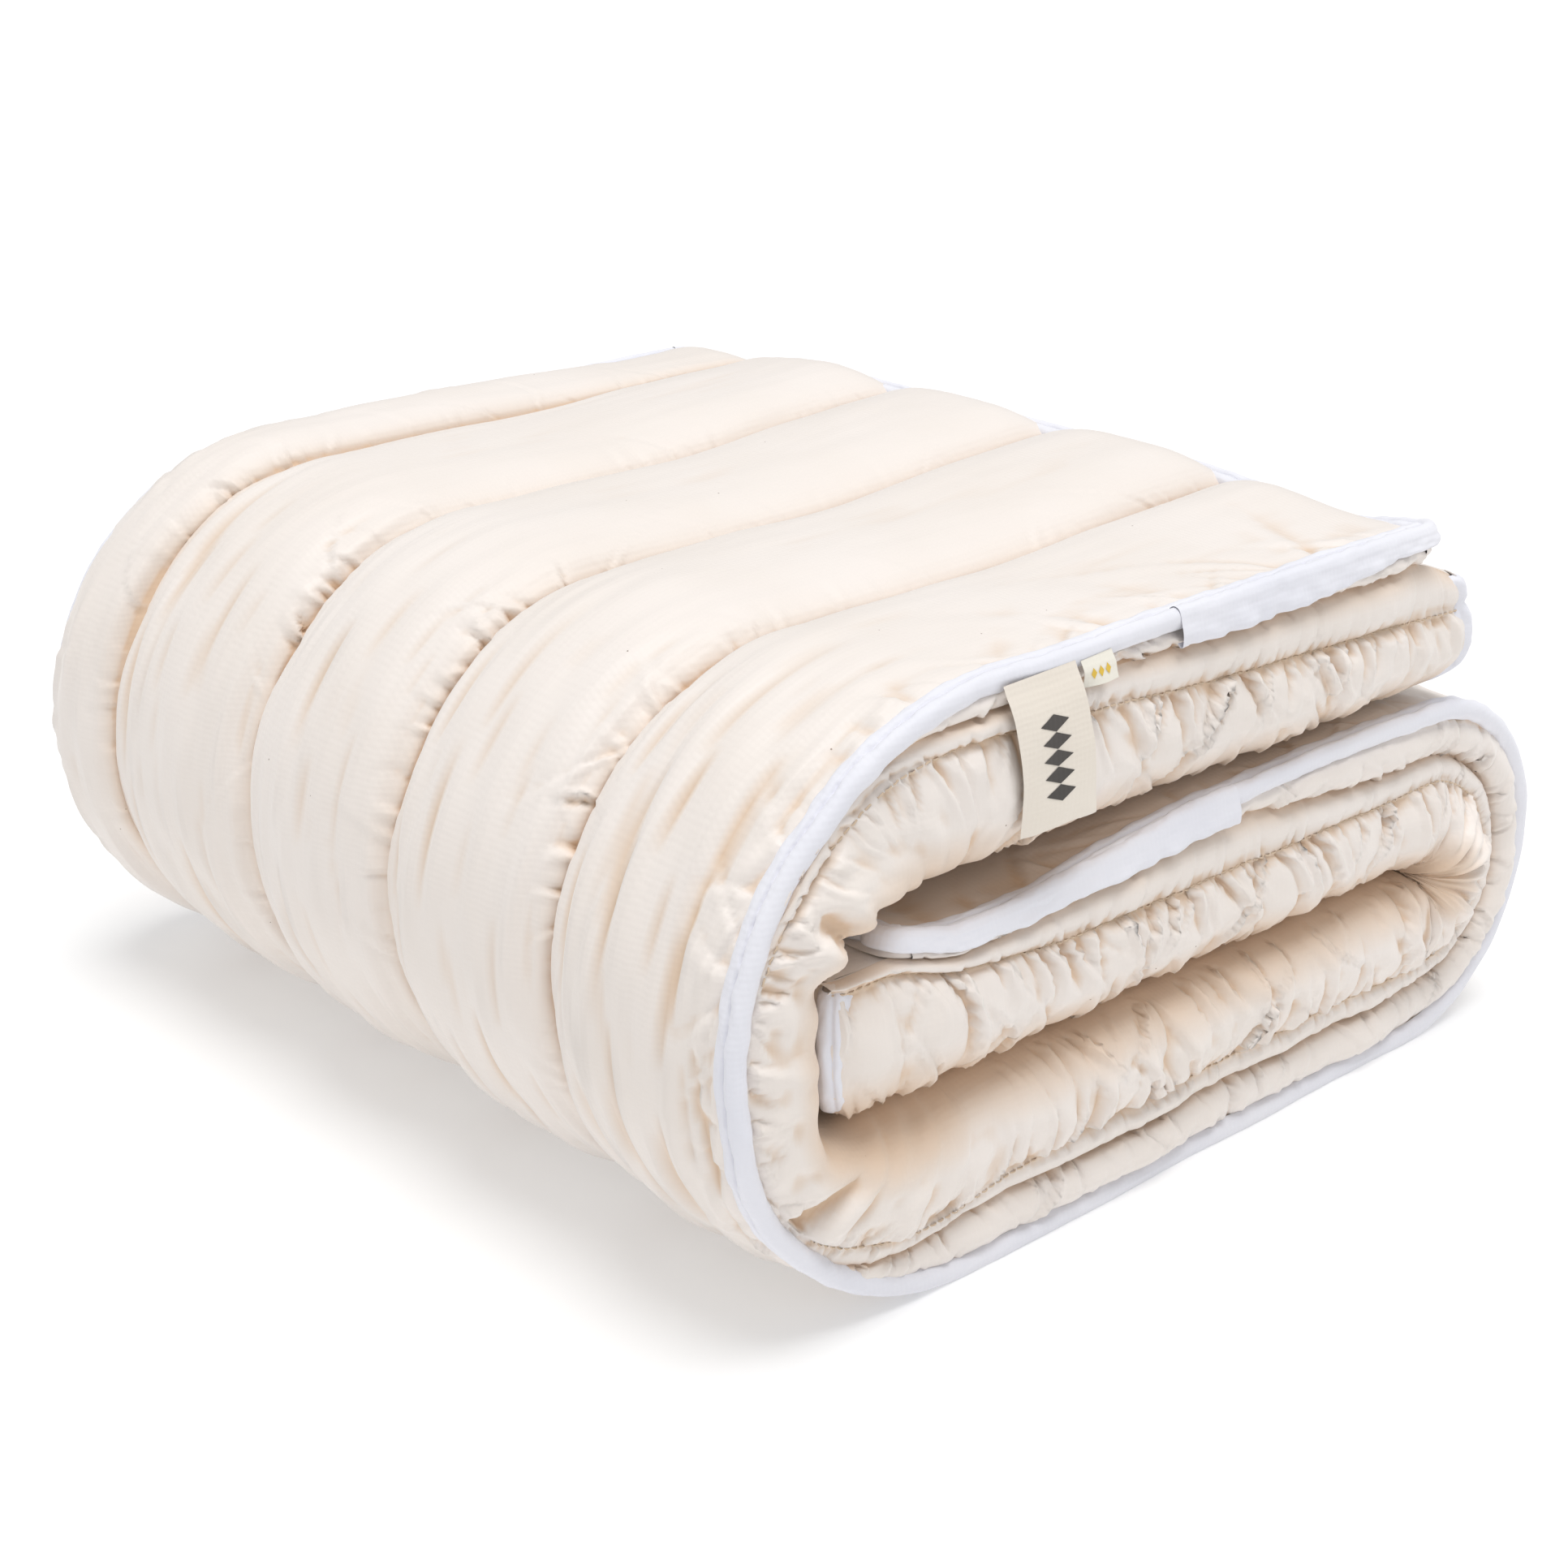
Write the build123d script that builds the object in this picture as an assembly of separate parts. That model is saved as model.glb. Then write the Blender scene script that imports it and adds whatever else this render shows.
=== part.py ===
from build123d import *
import os
from math import cos, radians, sin

# A quilted futon mattress, folded in three like a letter.
# Face A, the quilted one, is always outside and face B is always inside.
# The bottom panel lies on the ground. The inner flap is turned over it at the right-hand
# fold, and the outer flap is turned over both at the large left-hand fold.
# X runs from the left fold to the right fold, Y from the near side to the far side, Z up.
# The origin is at the centre of the bounding box's base. All lengths are in millimetres.
# A depth is always measured from face A towards face B.

# ---- Driving dimensions ----
FOLDED_LENGTH = 700.0       # X, over the two folds
LAYER = 116.0               # thickness of the mattress
LAYER_GAP = 1.0             # air between two folded layers
PAD = 38.0                  # depth of the quilted pad
COVER = 1.5                 # quilted cotton cover of face A
PANEL = 3.0                 # lined cotton panel of face B
WALL = 14.0                 # padded boxing wall round the core
CHANNELS = (150.0, 150.0, 150.0, 150.0, 92.0)   # quilted channels, near to far
SEAM = 1.0                  # line of quilting between two channels
BINDING = 3.0               # thickness of the bias binding
BINDING_DROP = 16.0         # width of binding that shows on the side
LAP_DROP = 12.0             # wider tape under the binding, near a free end
OUTER_LAP = 241.0           # length of the lap on the outer flap
INNER_LAP = 278.0           # length of the lap on the inner flap
LAP_GAP = 0.2
TAPE = 9.0                  # white tape over a corner seam of the boxing
PAD_SETBACK = 38.0          # the pad ends this far inside the boxing at a free end
OUTER_END = 255.0           # X of the outer flap's free end
INNER_END = -280.0          # X of the inner flap's free end
FOLD_STEPS = 6              # hinge lines that stand for the soft left fold
HINGE_GAP = 0.3             # clearance at each hinge line
SWING_CUTS = 12             # positions of a turning wedge that its clearance is cut for
FOLD_SQUEEZE = 5.0          # the left fold is this much thinner, so that it clears the inner flap
LABEL = (54.0, 84.0)        # large label, width and drop
SMALL_LABEL = (24.0, 15.0)  # small label, width and drop
LABEL_X = -160.0            # left edge of the large label
LABEL_SPACE = 4.0           # between the two labels
LABEL_SEAM = 9.0            # depth of the labels' sewn edge, which the binding covers
CLOTH = 0.8                 # thickness of a label
LABEL_STANDOFF = 1.2        # label's back, in front of the side

# ---- Sizes that follow ----
HEIGHT = 3 * LAYER + 2 * LAYER_GAP
R_LEFT = HEIGHT / 2
R_RIGHT = LAYER + LAYER_GAP / 2
X_LEFT = -FOLDED_LENGTH / 2 + R_LEFT
X_RIGHT = FOLDED_LENGTH / 2 - R_RIGHT
INNER_TOP = 2 * R_RIGHT
PAD_WIDTH = sum(CHANNELS)
BODY_WIDTH = PAD_WIDTH + 2 * BINDING
FRONT_ROOM = LABEL_STANDOFF + CLOTH
Y_NEAR = -(BODY_WIDTH + FRONT_ROOM) / 2 + FRONT_ROOM
Y_FAR = Y_NEAR + BODY_WIDTH
PAD_NEAR = Y_NEAR + BINDING
PAD_FAR = Y_FAR - BINDING
CORE_NEAR = Y_NEAR + WALL
CORE_FAR = Y_FAR - WALL
OUTER_PAD_END = OUTER_END - PAD_SETBACK
INNER_PAD_END = INNER_END + PAD_SETBACK
HOLLOW_END = INNER_END - LAYER_GAP
STEP_ANGLE = 180 / FOLD_STEPS
REACH = FOLDED_LENGTH


# ---- Outlines in the XZ plane ----
def rect(x0, x1, z0, z1):
    return Pos((x0 + x1) / 2, (z0 + z1) / 2) * Rectangle(x1 - x0, z1 - z0)


def bottom_band(x0, x1, depth0, depth1):
    return rect(x0, x1, depth0, depth1)


def inner_band(x0, x1, depth0, depth1):
    return rect(x0, x1, INNER_TOP - depth1, INNER_TOP - depth0)


def top_band(x0, x1, depth0, depth1):
    return rect(x0, x1, HEIGHT - depth1, HEIGHT - depth0)


def right_band(depth0, depth1):
    ring = Circle(R_RIGHT - depth0) - Circle(R_RIGHT - depth1)
    return (Pos(X_RIGHT, R_RIGHT) * ring) & rect(X_RIGHT, REACH, -REACH, REACH)


def left_ring(depth0, depth1):
    return Pos(X_LEFT, R_LEFT) * (Circle(R_LEFT - depth0) - Circle(R_LEFT - depth1))


def hollow(grow):
    """The room inside the left fold that the inner flap's free end fills."""
    room = FOLD_SQUEEZE + grow
    return rect(HOLLOW_END - grow, 0, LAYER - room, HEIGHT - LAYER + room)


def left_core():
    return Pos(X_LEFT, R_LEFT) * Circle(R_LEFT - PAD) - hollow(PANEL)


def left_panel():
    return hollow(PANEL) - hollow(0)


def left_casing():
    return Pos(X_LEFT, R_LEFT) * Circle(R_LEFT - PAD) - hollow(0)


def fold_point(angle, radius):
    """A point of the left fold, its angle counted from the ground up round the outside."""
    return X_LEFT - radius * sin(radians(angle)), R_LEFT - radius * cos(radians(angle))


def wedge(angle0, angle1):
    middle = (angle0 + angle1) / 2
    corners = [fold_point(0, 0)]
    corners += [fold_point(a, REACH) for a in (angle0, middle, angle1)]
    return Polygon(*corners, align=None)


def hinge_slit(angle):
    slit = Pos(0, -REACH / 2) * Rectangle(HINGE_GAP, REACH)
    return Pos(X_LEFT, R_LEFT) * Rot(0, 0, -angle) * slit


def inner_flap_seen_from(angle, turn):
    """The inner flap with its air gap, as a wedge that has turned about its hinge line meets it."""
    x, z = fold_point(angle, R_LEFT)
    flap = rect(HOLLOW_END, X_RIGHT, LAYER, INNER_TOP + LAYER_GAP)
    return Pos(x, z) * Rot(0, 0, -turn) * Pos(-x, -z) * flap


def fold_part(outline, angle0, angle1):
    """The stretch of a left-fold outline between two angles, less the hinge clearances."""
    part = outline & wedge(angle0, angle1)
    for angle in (angle0, angle1):
        if 0 < angle < 180:
            part = part - hinge_slit(angle)
    if angle0 > 0:
        for turn in range(1, SWING_CUTS + 1):
            part = part - inner_flap_seen_from(angle0, STEP_ANGLE * turn / SWING_CUTS)
    return part


# ---- Solids ----
def slab(outline, y0, y1):
    plane = Plane(origin=(0, y1, 0), x_dir=(1, 0, 0), z_dir=(0, -1, 0))
    return extrude(plane * outline, amount=y1 - y0)


def channel_spans():
    spans = []
    y = PAD_NEAR
    for width in CHANNELS:
        spans.append((y + SEAM / 2, y + width - SEAM / 2))
        y += width
    return spans


def write(name, *shapes):
    solids = [solid for shape in shapes for solid in shape.solids()]
    whole = solids[0] if len(solids) == 1 else Compound(children=solids)
    whole.label = name
    export_step(whole, os.path.join("parts", name + ".step"))


def write_quilt(prefix, outline):
    write(prefix + "_quilt_cover", slab(outline(0, COVER), PAD_NEAR, PAD_FAR))
    batting = [slab(outline(COVER, PAD), y0, y1) for y0, y1 in channel_spans()]
    write(prefix + "_quilt_batting", *batting)


def write_corner_tapes(prefix, x0, x1, band):
    for side, y0 in (("near", Y_NEAR), ("far", Y_FAR - TAPE)):
        write(prefix + "_corner_tape_" + side, slab(band(x0, x1, PAD, LAYER), y0, y0 + TAPE))


def make_base():
    """Bottom panel, right fold and inner flap, which stay folded as one body."""
    first = STEP_ANGLE / 2

    def bottom(depth0, depth1):
        run = bottom_band(X_LEFT, X_RIGHT, depth0, depth1)
        return run + fold_part(left_ring(depth0, depth1), 0, first)

    def inner(depth0, depth1):
        return inner_band(INNER_PAD_END + BINDING, X_RIGHT, depth0, depth1)

    write_quilt("bottom", bottom)
    write_quilt("right_fold", right_band)
    write_quilt("inner", inner)

    core_depths = (PAD, LAYER - PANEL)
    bottom_core = bottom_band(X_LEFT, X_RIGHT, *core_depths) + fold_part(left_core(), 0, first)
    write("bottom_core", slab(bottom_core, CORE_NEAR, CORE_FAR))
    write("right_fold_core", slab(right_band(*core_depths), CORE_NEAR, CORE_FAR))
    inner_core = inner_band(INNER_END + WALL, X_RIGHT, *core_depths)
    write("inner_core", slab(inner_core, CORE_NEAR, CORE_FAR))

    panel = bottom_band(X_LEFT, X_RIGHT, LAYER - PANEL, LAYER)
    panel += fold_part(left_panel(), 0, first)
    panel += right_band(LAYER - PANEL, LAYER)
    panel += inner_band(INNER_END + WALL, X_RIGHT, LAYER - PANEL, LAYER)
    write("base_under_panel", slab(panel, CORE_NEAR, CORE_FAR))

    wall = bottom_band(X_LEFT, X_RIGHT, PAD, LAYER) + fold_part(left_casing(), 0, first)
    wall += right_band(PAD, LAYER)
    wall += inner_band(INNER_END + TAPE, X_RIGHT, PAD, LAYER)
    write("base_boxing_near", slab(wall, Y_NEAR, CORE_NEAR))
    write("base_boxing_far", slab(wall, CORE_FAR, Y_FAR))
    end = slab(inner_band(INNER_END, INNER_END + TAPE, PAD, LAYER), Y_NEAR + TAPE, Y_FAR - TAPE)
    rest = slab(inner_band(INNER_END + TAPE, INNER_END + WALL, PAD, LAYER), CORE_NEAR, CORE_FAR)
    write("inner_end_boxing", end + rest)
    write_corner_tapes("inner", INNER_END, INNER_END + TAPE, inner_band)

    edge = bottom(0, BINDING_DROP) + right_band(0, BINDING_DROP)
    edge += inner_band(INNER_PAD_END, X_RIGHT, 0, BINDING_DROP)
    write("base_binding_near", slab(edge, Y_NEAR, PAD_NEAR))
    write("base_binding_far", slab(edge, PAD_FAR, Y_FAR))
    end_edge = inner_band(INNER_PAD_END, INNER_PAD_END + BINDING, 0, BINDING_DROP)
    write("inner_end_binding", slab(end_edge, PAD_NEAR, PAD_FAR))
    lap_top = BINDING_DROP + LAP_GAP
    lap = inner_band(INNER_PAD_END, INNER_PAD_END + INNER_LAP, lap_top, lap_top + LAP_DROP)
    write("inner_binding_lap", slab(lap, Y_NEAR, PAD_NEAR - LAP_GAP))


def make_fold_steps():
    """The left fold: wedges of mattress, one between each pair of hinge lines."""
    for step in range(1, FOLD_STEPS):
        angle0 = (step - 0.5) * STEP_ANGLE
        angle1 = angle0 + STEP_ANGLE
        name = "fold_" + str(step)

        def ring(depth0, depth1):
            return fold_part(left_ring(depth0, depth1), angle0, angle1)

        write_quilt(name, ring)
        core = slab(fold_part(left_core(), angle0, angle1), CORE_NEAR, CORE_FAR)
        casing = slab(fold_part(left_casing(), angle0, angle1), Y_NEAR, Y_FAR)
        write(name + "_core", core)
        write(name + "_casing", casing - core)
        edge = ring(0, BINDING_DROP)
        write(name + "_binding", slab(edge, Y_NEAR, PAD_NEAR), slab(edge, PAD_FAR, Y_FAR))


def make_outer_flap():
    last = 180 - STEP_ANGLE / 2

    def top(depth0, depth1):
        run = top_band(X_LEFT, OUTER_PAD_END - BINDING, depth0, depth1)
        return run + fold_part(left_ring(depth0, depth1), last, 180)

    write_quilt("outer", top)

    core = top_band(X_LEFT, OUTER_END - WALL, PAD, LAYER - PANEL)
    core += fold_part(left_core(), last, 180)
    write("outer_core", slab(core, CORE_NEAR, CORE_FAR))
    panel = top_band(X_LEFT, OUTER_END - WALL, LAYER - PANEL, LAYER)
    panel += fold_part(left_panel(), last, 180)
    write("outer_under_panel", slab(panel, CORE_NEAR, CORE_FAR))

    wall = top_band(X_LEFT, OUTER_END - TAPE, PAD, LAYER) + fold_part(left_casing(), last, 180)
    write("outer_boxing_near", slab(wall, Y_NEAR, CORE_NEAR))
    write("outer_boxing_far", slab(wall, CORE_FAR, Y_FAR))
    end = slab(top_band(OUTER_END - TAPE, OUTER_END, PAD, LAYER), Y_NEAR + TAPE, Y_FAR - TAPE)
    rest = slab(top_band(OUTER_END - WALL, OUTER_END - TAPE, PAD, LAYER), CORE_NEAR, CORE_FAR)
    write("outer_end_boxing", end + rest)
    write_corner_tapes("outer", OUTER_END - TAPE, OUTER_END, top_band)

    edge = top(0, BINDING_DROP)
    edge += top_band(OUTER_PAD_END - BINDING, OUTER_PAD_END, 0, BINDING_DROP)
    write("outer_binding_near", slab(edge, Y_NEAR, PAD_NEAR))
    write("outer_binding_far", slab(edge, PAD_FAR, Y_FAR))
    end_edge = top_band(OUTER_PAD_END - BINDING, OUTER_PAD_END, 0, BINDING_DROP)
    write("outer_end_binding", slab(end_edge, PAD_NEAR, PAD_FAR))
    lap_top = BINDING_DROP + LAP_GAP
    lap = top_band(OUTER_PAD_END - OUTER_LAP, OUTER_PAD_END, lap_top, lap_top + LAP_DROP)
    write("outer_binding_lap", slab(lap, Y_NEAR, PAD_NEAR - LAP_GAP))


def make_labels():
    """Two cloth labels sewn in under the binding of the outer flap, hanging free below it."""
    top = HEIGHT - LABEL_SEAM
    back = Y_NEAR - LABEL_STANDOFF
    x = LABEL_X
    for name, (width, drop) in (("large_label", LABEL), ("small_label", SMALL_LABEL)):
        write(name, slab(rect(x, x + width, top - drop, top), back - CLOTH, back))
        x += width + LABEL_SPACE


os.makedirs("parts", exist_ok=True)
make_base()
make_fold_steps()
make_outer_flap()
make_labels()
for number in range(FOLD_STEPS):
    x, z = fold_point((number + 0.5) * STEP_ANGLE, R_LEFT)
    print("hinge line", number + 1, round(x, 4), round(z, 4))
print("label seam", Y_NEAR - LABEL_STANDOFF - CLOTH / 2, HEIGHT - LABEL_SEAM)
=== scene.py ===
"""The folded futon mattress: quilted skins, gathered boxing, bias binding, labels and stitching."""
import math
from collections import namedtuple

import bpy
import numpy as np
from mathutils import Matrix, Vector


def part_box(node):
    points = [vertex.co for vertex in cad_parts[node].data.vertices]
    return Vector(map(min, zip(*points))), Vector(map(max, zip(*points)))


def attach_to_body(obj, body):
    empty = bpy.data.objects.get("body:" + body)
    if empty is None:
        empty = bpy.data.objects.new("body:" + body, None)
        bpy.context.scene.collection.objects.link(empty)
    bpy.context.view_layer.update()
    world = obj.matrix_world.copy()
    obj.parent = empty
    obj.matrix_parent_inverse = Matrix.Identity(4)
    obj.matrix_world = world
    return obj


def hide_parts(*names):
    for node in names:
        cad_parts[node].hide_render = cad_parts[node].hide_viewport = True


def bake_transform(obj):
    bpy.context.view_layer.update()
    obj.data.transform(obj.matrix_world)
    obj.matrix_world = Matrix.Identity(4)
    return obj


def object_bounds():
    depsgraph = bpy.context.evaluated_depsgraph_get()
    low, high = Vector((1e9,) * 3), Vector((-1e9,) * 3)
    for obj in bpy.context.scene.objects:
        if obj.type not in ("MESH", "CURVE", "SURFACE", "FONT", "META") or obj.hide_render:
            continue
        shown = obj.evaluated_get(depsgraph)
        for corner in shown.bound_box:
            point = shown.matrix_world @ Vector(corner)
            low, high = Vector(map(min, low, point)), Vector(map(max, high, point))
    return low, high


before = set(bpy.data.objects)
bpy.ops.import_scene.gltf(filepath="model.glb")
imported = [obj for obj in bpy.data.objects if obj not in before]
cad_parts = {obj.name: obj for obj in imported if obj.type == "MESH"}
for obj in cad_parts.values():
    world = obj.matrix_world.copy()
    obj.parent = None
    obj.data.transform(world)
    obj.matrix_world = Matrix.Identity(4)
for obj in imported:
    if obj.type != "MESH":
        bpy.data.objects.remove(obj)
CAD_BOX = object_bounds()

MM = 0.001

# ---- Sizes read from the frame, in metres ----


def low(node):
    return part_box(node)[0]


def high(node):
    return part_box(node)[1]


HEIGHT = CAD_BOX[1][2]
R_LEFT = HEIGHT / 2      # outer radius of the left fold, and X of its centre
X_LEFT = CAD_BOX[0][0] + R_LEFT
INNER_TOP = high("inner_quilt_cover")[2]
R_RIGHT = INNER_TOP / 2      # and of the right fold, round which the inner flap is turned
X_RIGHT = CAD_BOX[1][0] - R_RIGHT
LAYER_GAP = low("outer_under_panel")[2] - INNER_TOP
LAYER = R_RIGHT - LAYER_GAP / 2      # thickness of the mattress
Y_NEAR = low("outer_boxing_near")[1]
Y_FAR = high("outer_boxing_far")[1]
OUTER_PAD_END = high("outer_end_binding")[0]
INNER_PAD_END = low("inner_end_binding")[0] + 8 * MM
OUTER_END = high("outer_end_boxing")[0]
INNER_END = low("inner_end_boxing")[0]
HOLLOW_X = X_LEFT - INNER_END      # how far the hollow in the left fold reaches from its centre
HOLLOW_Z = R_LEFT - LAYER
CHAIN = ["base"] + [f"fold_{k}" for k in range(1, 6)] + ["outer_flap"]
STEPS = len(CHAIN) - 1      # hinge lines of the left fold
STEP_ANGLE = math.pi / STEPS
CHANNEL = 0.150
SEAMS = [low("outer_quilt_cover")[1] + CHANNEL * k for k in range(1, 5)]
SIDES = {"near": (Y_NEAR, -1), "far": (Y_FAR, 1)}      # Y of each long side, and the way it faces


# ---- The folded path: stations along it, and depth below face A ----


class Stations:
    """Places along the folded mattress, from the outer free end round to the inner free end.
    Each has a point on face A, the outward normal there, and the stretch of path it is on."""

    def __init__(self, spacing, outer_end, inner_end):
        places = []

        def straight(x_from, x_to, z, way, kind, turn):
            cells = max(2, round(abs(x_to - x_from) / spacing))
            for x in np.linspace(x_from, x_to, cells + 1)[1 if places else 0 :]:
                places.append((x, z, 0, way, kind, turn))
            return len(places) - 1

        def arc(x, radius, angles, kind):
            for angle in angles[1:]:
                out_x, out_z = math.sin(angle) * (-1 if kind == "left" else 1), -math.cos(angle)
                x_here, z_here = x + radius * out_x, radius + radius * out_z
                places.append((x_here, z_here, out_x, out_z, kind, angle))
            return len(places) - 1

        self.per_step = max(4, round(R_LEFT * STEP_ANGLE / spacing))
        self.fold_start = straight(outer_end, X_LEFT, HEIGHT, 1, "top", math.pi)
        angles = np.linspace(math.pi, 0, self.per_step * STEPS + 1)
        self.fold_end = arc(X_LEFT, R_LEFT, angles, "left")
        straight(X_LEFT, X_RIGHT, 0, -1, "bottom", 0)
        angles = np.linspace(0, math.pi, max(2, round(R_RIGHT * math.pi / spacing)) + 1)
        self.right_end = arc(X_RIGHT, R_RIGHT, angles, "right")
        straight(X_RIGHT, inner_end, INNER_TOP, 1, "inner", math.pi)
        xs, zs, nx, nz, kinds, turns = zip(*places)
        self.x, self.z = np.array(xs), np.array(zs)
        self.normal = np.stack([np.array(nx), np.array(nz)], 1)
        self.kind, self.turn = np.array(kinds), np.array(turns)
        self.count = len(xs)
        step = np.hypot(np.diff(self.x), np.diff(self.z))
        self.s = np.concatenate([[0], np.cumsum(step)])

    def spans(self):
        """The rows that each body or hinge strip covers: (name, first row, last row, hinge)."""
        rows = [("outer", 0, self.fold_start, None)]
        for k in range(STEPS, 0, -1):
            first = self.fold_start + (STEPS - k) * self.per_step
            rows.append((f"fold_{k}", first, first + self.per_step, k))
        rows.append(("base", self.fold_end, self.count - 1, None))
        return rows

    def bend_weight(self, kind):
        """1 in the middle of the left or right fold, falling smoothly to 0 at its ends."""
        inside = np.where(self.kind == kind, np.sin(self.turn), 0)
        return unit(inside * 1.6)

    def layer_weights(self):
        """Shares of the outer flap, left fold, bottom, right fold and inner flap, summing to 1."""
        left, right = self.bend_weight("left"), self.bend_weight("right")
        half = self.turn / math.pi
        outer = np.where(self.kind == "top", 1, np.where(self.kind == "left", half, 0))
        inner = np.where(self.kind == "inner", 1, np.where(self.kind == "right", half, 0))
        bottom = 1 - outer - inner
        rest = (1 - left) * (1 - right)
        return np.stack([outer * rest, left, bottom * rest, right, inner * rest], 1)


HOLLOW_POWER = 6      # of the superellipse that the hollow in the left fold is


def face_b_radius(angle):
    """How far face B is from the left fold's centre, in the direction of an angle."""
    along = (np.abs(np.sin(angle)) / HOLLOW_X) ** HOLLOW_POWER
    up = (np.abs(np.cos(angle)) / HOLLOW_Z) ** HOLLOW_POWER
    return (along + up) ** (-1 / HOLLOW_POWER)


def depth_points(st, depth, knee):
    """X and Z at a depth below face A, for each station. depth is an array (stations, n), and
    past the knee, a depth for each station, the left fold's layer is squeezed onto its face B."""
    x = st.x[:, None] - st.normal[:, :1] * depth
    z = st.z[:, None] - st.normal[:, 1:] * depth
    left = st.kind == "left"
    inner = face_b_radius(st.turn[left])[:, None]
    d, bend = depth[left], knee[left][:, None]
    share = np.clip((d - bend) / (LAYER - bend), 0, None)
    radius = np.where(d < bend, R_LEFT - d, (R_LEFT - bend) + share * (inner - (R_LEFT - bend)))
    x[left] = X_LEFT + st.normal[left, :1] * radius
    z[left] = R_LEFT + st.normal[left, 1:] * radius
    return x, z


# ---- Smooth steps and noise, and the cloth solver ----


def unit(t):
    """t kept between 0 and 1."""
    return np.clip(t, 0, 1)


def smooth_step(t):
    t = unit(t)
    return t * t * (3 - 2 * t)


def smooth_noise(u, v, size, seed, octaves=3):
    """Smooth noise of about unit height over metres u, v, with features of a given size."""
    gen = np.random.default_rng(seed)
    total = np.zeros(np.broadcast(u, v).shape)
    for octave in range(octaves):
        scale = size / 1.9**octave
        for _ in range(7):
            angle, phase = gen.uniform(0, 2 * math.pi, 2)
            k = gen.uniform(0.6, 1.4) * 2 * math.pi / scale
            wave = np.sin(k * (u * math.cos(angle) + v * math.sin(angle)) + phase)
            total += wave * 0.55**octave / 2.6
    return total


def grid_normals(points):
    """Unit normals of a grid of points, to the side of columns by rows."""
    du = np.gradient(points, axis=0)
    dv = np.gradient(points, axis=1)
    n = np.cross(dv, du)
    return n / np.maximum(np.linalg.norm(n, axis=2, keepdims=True), 1e-12)


def free_points(shape, sewn):
    """1 at each point of a grid, and 0 in its sewn columns and its first and last rows."""
    free = np.ones(shape)
    free[:, sewn] = 0
    free[[0, -1]] = 0
    return free


def pull(a, b, wa, wb, rest, stiffness, only_push=False):
    """Moves paired points towards their rest distance, in place."""
    d = b - a
    length = np.sqrt(np.einsum("ijk,ijk->ij", d, d)) + 1e-9
    error = (length - rest) / length * stiffness
    if only_push:
        error = np.minimum(error, 0)
    error = error / np.maximum(wa + wb, 1e-6)
    d *= error[..., None]
    a += d * wa[..., None]
    b -= d * wb[..., None]


ROUNDS = 8
SHEAR, BEND = 0.25, 0.04      # how stiff the cloth is across a cell, and where it folds
FILLING = np.float32(0.10)      # how firmly the filling holds it out, in each round
DAMPING = np.float32(0.85)


def relax(target, slack, free, floor=None):
    """Cloth on a grid, relaxed by position-based dynamics from the surface that its filling gives
    it. slack is the cloth's length along and across over that surface's, and free is 0 where it
    is sewn down."""
    x, goal, w = (values.astype(np.float32) for values in (target, target, free))
    along, across = (
        (np.linalg.norm(np.diff(target, axis=axis), axis=2) * slack[axis]).astype(np.float32)
        for axis in (0, 1)
    )
    diagonal = np.sqrt(
        ((along[:, 1:] + along[:, :-1]) / 2) ** 2 + ((across[1:] + across[:-1]) / 2) ** 2
    )
    directions = ((x, w, along), (x.swapaxes(0, 1), w.T, across.T))
    first, last = slice(None, -1), slice(1, None)
    speed = np.zeros_like(x)
    for round_number in range(ROUNDS):
        before = x.copy()
        x += speed * DAMPING * w[..., None]
        if round_number % 4 == 0:
            normal = grid_normals(x).astype(np.float32)
        off = np.einsum("ijk,ijk->ij", goal - x, normal) * FILLING * w
        x += normal * off[..., None]
        for grid, weight, near in directions:
            for gap, rest, stiffness in ((2, near[1:] + near[:-1], BEND), (1, near, 1.0)):
                for p in range(2 * gap):
                    i, j = slice(p, -gap, 2 * gap), slice(p + gap, None, 2 * gap)
                    own = rest[p :: 2 * gap]
                    pull(grid[i], grid[j], weight[i], weight[j], own, stiffness, gap == 2)
        for p in (0, 1):
            for here, beside in ((first, last), (last, first)):
                i, j = (slice(p, -1, 2), here), (slice(p + 1, None, 2), beside)
                pull(x[i], x[j], w[i], w[j], diagonal[p::2], SHEAR)
        if floor is not None:
            x[..., 2] = np.maximum(x[..., 2], floor)
        speed = x - before
    return x.astype(float)


# ---- Meshes ----


def add_object(name, data):
    obj = bpy.data.objects.new(name, data)
    bpy.context.collection.objects.link(obj)
    return obj


def mesh_object(name, verts, faces, normals=None):
    mesh = bpy.data.meshes.new(name)
    mesh.from_pydata([tuple(v) for v in verts], [], faces)
    mesh.polygons.foreach_set("use_smooth", [True] * len(mesh.polygons))
    mesh.update()
    if normals is not None:
        mesh.normals_split_custom_set_from_vertices([tuple(n) for n in normals])
    return add_object(name, mesh)


def grid_faces(rows, columns, flip):
    i, j = np.meshgrid(np.arange(rows - 1), np.arange(columns - 1), indexing="ij")
    a = (i * columns + j).ravel()
    quads = np.stack([a, a + 1, a + columns + 1, a + columns], 1)
    if flip:
        quads = quads[:, ::-1]
    return quads.tolist()


def lengths_along(line):
    return np.concatenate([[0], np.cumsum(np.linalg.norm(np.diff(line, axis=0), axis=1))])


def places_on(line, at, want):
    """Points of a line of points at the wanted values of what rises along it."""
    return np.stack([np.interp(want, at, column) for column in line.T], 1)


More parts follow.
